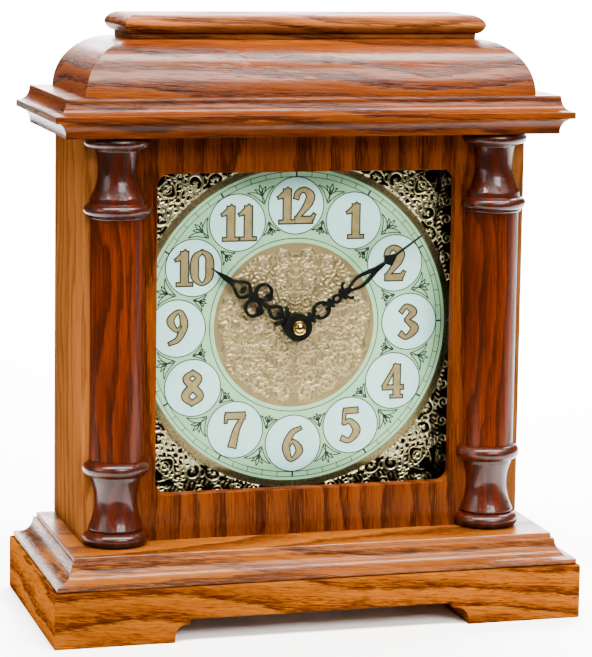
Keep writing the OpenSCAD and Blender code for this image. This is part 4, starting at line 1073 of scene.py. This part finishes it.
def moulded_plastic(name, shade, deep, rough, spark=1.2):
    """Injection-moulded plastic: an even colour with a spark-eroded texture that softens its
    sheen. spark is the texture's grain in mm."""
    material, shader = new_material(name)
    place = add_node(material, "ShaderNodeTexCoord")
    texture = add_node(material, "ShaderNodeTexNoise", {
        "Vector": place.outputs["Object"], "Scale": MM / spark, "Detail": 4.0})
    colour = add_node(material, "ShaderNodeValToRGB", {"Fac": texture.outputs["Fac"]}, stops=[
        (0.3, deep), (0.7, shade)])
    spread = add_node(material, "ShaderNodeMapRange", {
        "Value": texture.outputs["Fac"], "To Min": rough * 0.8, "To Max": rough * 1.2})
    relief = add_node(material, "ShaderNodeBump", {
        "Strength": 0.25, "Distance": 0.00005, "Height": texture.outputs["Fac"]})
    for output, socket in ((colour, "Base Color"), (spread, "Roughness"), (relief, "Normal")):
        material.node_tree.links.new(output.outputs[0], shader.inputs[socket])
    return material


finish_nodes(moulded_plastic("black_moulded_frame", "16150f", "0c0b08", 0.5), "glazing_frame")


# Hands: pierced serpentine hands stamped from thin sheet steel and lacquered black. Each is laid
# out along its own length, then turned to its hour.
def turned_out(points, degrees):
    """Points given as distance along a hand and to its left, turned clockwise from twelve."""
    a = math.radians(90 - degrees)
    points = np.asarray(points, float)
    along, left = points[..., 0], points[..., 1]
    return np.stack([along * math.cos(a) - left * math.sin(a), along * math.sin(a) + left * math.cos(a)], -1)


def hand_at(node):
    """Heights of a hand's back and front off the dial."""
    low, high = node_box(node)
    return plate_face - high[1], plate_face - low[1]


black_lacquer = moulded_plastic("black_lacquered_steel", "050403", "020201", 0.5, 2.0)
black_lacquer.node_tree.nodes["Principled BSDF"].inputs["Specular IOR Level"].default_value = 0.12
# Each stroke of a hand is this much thinner than the last, so that no two faces coincide
lap = 0.003


def blob(along, left, radius, low, high, degrees):
    """A small round boss on a hand: a closed bar round a tiny circle, as wide as its radius."""
    middle = turned_out((along, left), degrees)
    return bar(circle(radius / 2, middle, 16), radius, low, high, True)


def shape_hand(name, node, degrees, lines, rings, blobs, body):
    """A hand from open strokes of along, left, width, mirrored strokes, rings and round bosses."""
    low, high = hand_at(node)
    bars, loops = [], []
    for points, twin in lines:
        curve = stroke(points)
        for hand in (1, -1) if twin else (1,):
            low, high = low + lap, high - lap
            bars.append(bar(turned_out(curve[:, :2] * [1, hand], degrees), 1.25 * curve[:, 2], low, high))
    for path, width in rings:
        low, high = low + lap, high - lap
        loops.append(bar(turned_out(path, degrees), 1.25 * width, low, high, True))
    for spot in blobs:
        low, high = low + lap, high - lap
        loops.append(blob(*spot, low, high, degrees))
    printed(name, bars, loops, black_lacquer, body, "hand_black", [node])


def ellipse(middle, half_along, half_left, steps=40):
    """Points round an ellipse on a hand."""
    t = np.linspace(0, 2 * math.pi, steps, endpoint=False)
    return np.column_stack([middle[0] + half_along * np.cos(t), middle[1] + half_left * np.sin(t)])


hub_ring = (ellipse((0, 0), 4.5, 4.5, 60), 4.0)
shape_hand("serpentine_hour_hand", "hour_hand", 304.5, [
    ([(5.5, 0, 2.6), (8.0, 0, 1.6), (12.0, 0, 1.3)], False),
    ([(6.0, 1.2, 1.2), (8.2, 3.2, 1.5), (9.6, 4.9, 1.0), (10.6, 4.4, 0.7)], True),
    ([(9.0, 0.4, 1.1), (13.0, 3.2, 1.3), (17.0, 0.8, 1.1), (20.0, 0.3, 1.3)], True),
    ([(17.0, 0, 1.4), (24.0, 0, 1.2), (29.5, 0, 2.2)], False),
    ([(29.0, 0.4, 1.3), (33.0, 4.1, 1.2), (38.0, 1.9, 1.2), (42.0, 0.4, 1.0)], True),
    ([(32.4, 0, 2.4), (34.6, 0, 1.0)], False),
    ([(33.4, -2.0, 0.9), (33.4, 2.0, 0.9)], False),
    ([(39.0, 0, 2.6), (44.0, 0, 2.4), (49.0, 0, 1.1), (53.2, 0, 0.3)], False),
], [hub_ring, (ellipse((24, 4.75), 3.9, 3.9), 1.2), (ellipse((24, -4.75), 3.9, 3.9), 1.2)],
    [(20.4, 4.1, 2.0), (20.4, -4.1, 2.0), (27.4, 1.6, 1.1), (27.4, -1.6, 1.1)], "hour_arbor")
shape_hand("serpentine_minute_hand", "minute_hand", 55.0, [
    ([(5.5, 0, 2.8), (9.0, 0, 3.2), (10.4, 0, 1.6)], False),
    ([(7.4, 1.4, 1.3), (8.8, 3.0, 0.9)], True),
    ([(18.4, 0, 1.4), (21.0, 0, 2.4), (22.2, 0, 1.4)], False),
    ([(19.6, 1.0, 1.2), (21.0, 2.6, 0.8)], True),
    ([(25.6, 0, 1.6), (30.0, 0, 2.6), (33.0, 0, 1.6)], False),
    ([(28.0, 1.0, 1.3), (30.3, 4.4, 1.0), (31.6, 4.0, 0.6)], True),
    ([(26.6, 1.2, 1.0), (28.0, 3.0, 0.8)], True),
    ([(32.0, 0.8, 1.0), (38.0, 2.5, 1.1), (44.0, 1.6, 1.5), (49.0, 0.5, 1.2)], True),
    ([(45.0, 0, 2.6), (50.0, 0, 2.0), (55.0, 0, 0.9)], False),
    ([(54.0, 0, 1.0), (56.0, 0, 4.8), (58.0, 0, 3.2), (61.5, 0, 0.7)], False),
    ([(60.0, 0, 0.8), (70.0, 0, 0.55), (77.2, 0, 0.4)], False),
], [hub_ring, (ellipse((14.3, 0), 4.3, 3.8), 1.2), (ellipse((23.9, 0), 1.9, 1.8), 1.0)], [
    (11.2, 1.7, 1.0), (11.2, -1.7, 1.0), (17.2, 1.6, 1.0), (17.2, -1.6, 1.0)], "minute_arbor")


# Hand nut: a small turned brass nut with a polished dome that holds the minute hand on.
nut_back, nut_front = hand_at("hand_nut")
nut_r = (nut_high[0] - nut_low[0]) / 2
dome = np.linspace(0.02, math.pi / 2, 16)
dome_base = nut_back + 0.45 * (nut_front - nut_back)
nut_section = np.vstack([
    np.column_stack([nut_r * np.sin(dome) * 0.86, dome_base + (nut_front - dome_base) * np.cos(dome)]),
    [[nut_r * 0.86, dome_base], [nut_r * 0.97, dome_base - 0.1], [nut_r, dome_base - 0.35],
        [nut_r, nut_back + 0.3], [nut_r * 0.96, nut_back]]])
nut_rings = spun(nut_section, steps=64)
nut = put_mesh("brass_hand_nut", nut_rings, lidded(nut_rings), sharp=50)
polished_brass = brushed_metal("polished_brass", "e0b860", "c79a48", 0.16, grit=3.0)
finish_piece(nut, polished_brass, "minute_arbor", "neck_brass", "hand_nut")


# Movement: a quartz movement in a moulded case behind the dial, fixed by its brass neck and nut.
# Its wheels are acetal, its coil enamelled copper, and its circuit a small glass-fibre board.
turned_brass = brushed_metal("turned_brass", "cfa65c", "b08842", 0.25)
zinc_steel = brushed_metal("zinc_plated_steel", "c4c8cc", "9a9fa6", 0.3)
copper_wire = brushed_metal("enamelled_copper_wire", "b0602c", "8a431a", 0.3, grit=8.0)
finish_nodes(moulded_plastic("black_movement_case", "1c1c1e", "131315", 0.45), "movement_front_case",
    "movement_rear_case")
finish_nodes(moulded_plastic("setting_knob_plastic", "26262a", "1a1a1d", 0.4), "setting_knob")
finish_nodes(moulded_plastic("black_rubber", "202020", "151515", 0.75, 0.6), "movement_gasket")
finish_nodes(moulded_plastic("white_acetal", "ece8dc", "ddd8ca", 0.4), "hour_wheel", "minute_wheel",
    "minute_pipe", "step_wheel", "second_wheel", "third_wheel", "centre_wheel", "rotor")
finish_nodes(moulded_plastic("green_circuit_board", "1f5a34", "174627", 0.35), "circuit_board")
finish_nodes(turned_brass, "movement_nut", "movement_washer")
finish_nodes(copper_wire, "motor_coil")
finish_nodes(zinc_steel, "motor_stator", "quartz_crystal", "battery_contact_plus",
    "battery_contact_minus")
cell_low, cell_high = node_box("battery")
jacket, shader = new_material("printed_battery_jacket")
place = add_node(jacket, "ShaderNodeTexCoord")
split = add_node(jacket, "ShaderNodeSeparateXYZ", {"Vector": place.outputs["Object"]})
share = add_node(jacket, "ShaderNodeMapRange", {
    "Value": split.outputs["X"], "From Min": cell_low[0] / MM, "From Max": cell_high[0] / MM})
bands = add_node(jacket, "ShaderNodeValToRGB", {"Fac": share.outputs[0]}, stops=[
    (0.0, "b9bcc0"), (0.03, "1d1d20"), (0.30, "1f1f24"), (0.31, "b07a3c"), (0.95, "b98444"),
    (0.97, "c2c5c9")])
scuff = add_node(jacket, "ShaderNodeTexNoise", {
    "Vector": place.outputs["Object"], "Scale": 0.4 * MM, "Detail": 4.0})
gloss = add_node(jacket, "ShaderNodeMapRange", {"Value": scuff.outputs["Fac"], "To Min": 0.18, "To Max": 0.4})
jacket.node_tree.links.new(bands.outputs[0], shader.inputs["Base Color"])
jacket.node_tree.links.new(gloss.outputs[0], shader.inputs["Roughness"])
shader.inputs["Metallic"].default_value = 0.6
finish_nodes(jacket, "battery")


# Back and inside: the dial board is hardboard, its blocks are pine, and the back frame and door
# are stained plywood. Hinges and knob are brass, the catch is a magnet with a steel strike.
def sawn_board(name, light, dark, along, streak=0.6, rough=0.6):
    """Stained plywood, pine or hardboard: faint streaks along one axis, streak mm wide, with the
    open, matt look of wood that was sanded and stained but not lacquered."""
    material, shader = new_material(name)
    place = add_node(material, "ShaderNodeTexCoord")
    stretch = [MM / streak] * 3
    stretch["XYZ".index(along)] = MM / (streak * 40)
    scaled = add_node(material, "ShaderNodeMapping", {
        "Vector": place.outputs["Object"], "Scale": stretch})
    fibre = add_node(material, "ShaderNodeTexNoise", {
        "Vector": scaled.outputs[0], "Scale": 1.0, "Detail": 5.0, "Roughness": 0.65})
    wide = add_node(material, "ShaderNodeMapping", {
        "Vector": place.outputs["Object"], "Scale": [s / 9 for s in stretch]})
    figure = add_node(material, "ShaderNodeTexNoise", {
        "Vector": wide.outputs[0], "Scale": 1.0, "Detail": 3.0, "Distortion": 0.6})
    both = add_node(material, "ShaderNodeMath", {
        0: fibre.outputs["Fac"], 1: figure.outputs["Fac"]}, operation="ADD")
    tone = add_node(material, "ShaderNodeMapRange", {
        "Value": both.outputs[0], "From Min": 0.6, "From Max": 1.4})
    colour = add_node(material, "ShaderNodeValToRGB", {"Fac": tone.outputs[0]}, stops=[
        (0.1, dark), (0.8, light)])
    relief = add_node(material, "ShaderNodeBump", {
        "Strength": 0.3, "Distance": 0.0001, "Height": fibre.outputs["Fac"]})
    material.node_tree.links.new(colour.outputs[0], shader.inputs["Base Color"])
    material.node_tree.links.new(relief.outputs[0], shader.inputs["Normal"])
    shader.inputs["Roughness"].default_value = rough
    return material


finish_nodes(sawn_board("brown_hardboard", "6a4526", "4c2e16", "Z", 0.9, 0.55), "dial_board")
finish_nodes(sawn_board("planed_pine", "d6ae74", "b98a50", "Z"), "dial_blocks")
stained_ply = sawn_board("stained_birch_plywood", "8a5228", "5c3014", "Z", 0.7, 0.5)
finish_nodes(stained_ply, "back_frame", "back_door")
finish_nodes(brushed_metal("lacquered_brass_hinge", "c9a050", "a47c34", 0.28), "hinge_frame_leaves",
    "hinge_door_leaves", "hinge_pins", "door_knob")
finish_nodes(brushed_metal("brass_plated_screws", "b8924c", "8c6a30", 0.3), "hinge_screws_frame",
    "hinge_screws_door")
finish_nodes(zinc_steel, "back_frame_screws", "base_screws", "top_screws", "dial_screws", "strike_plate")
finish_nodes(moulded_plastic("black_magnet_catch", "1b1b1d", "101012", 0.5), "door_magnet")
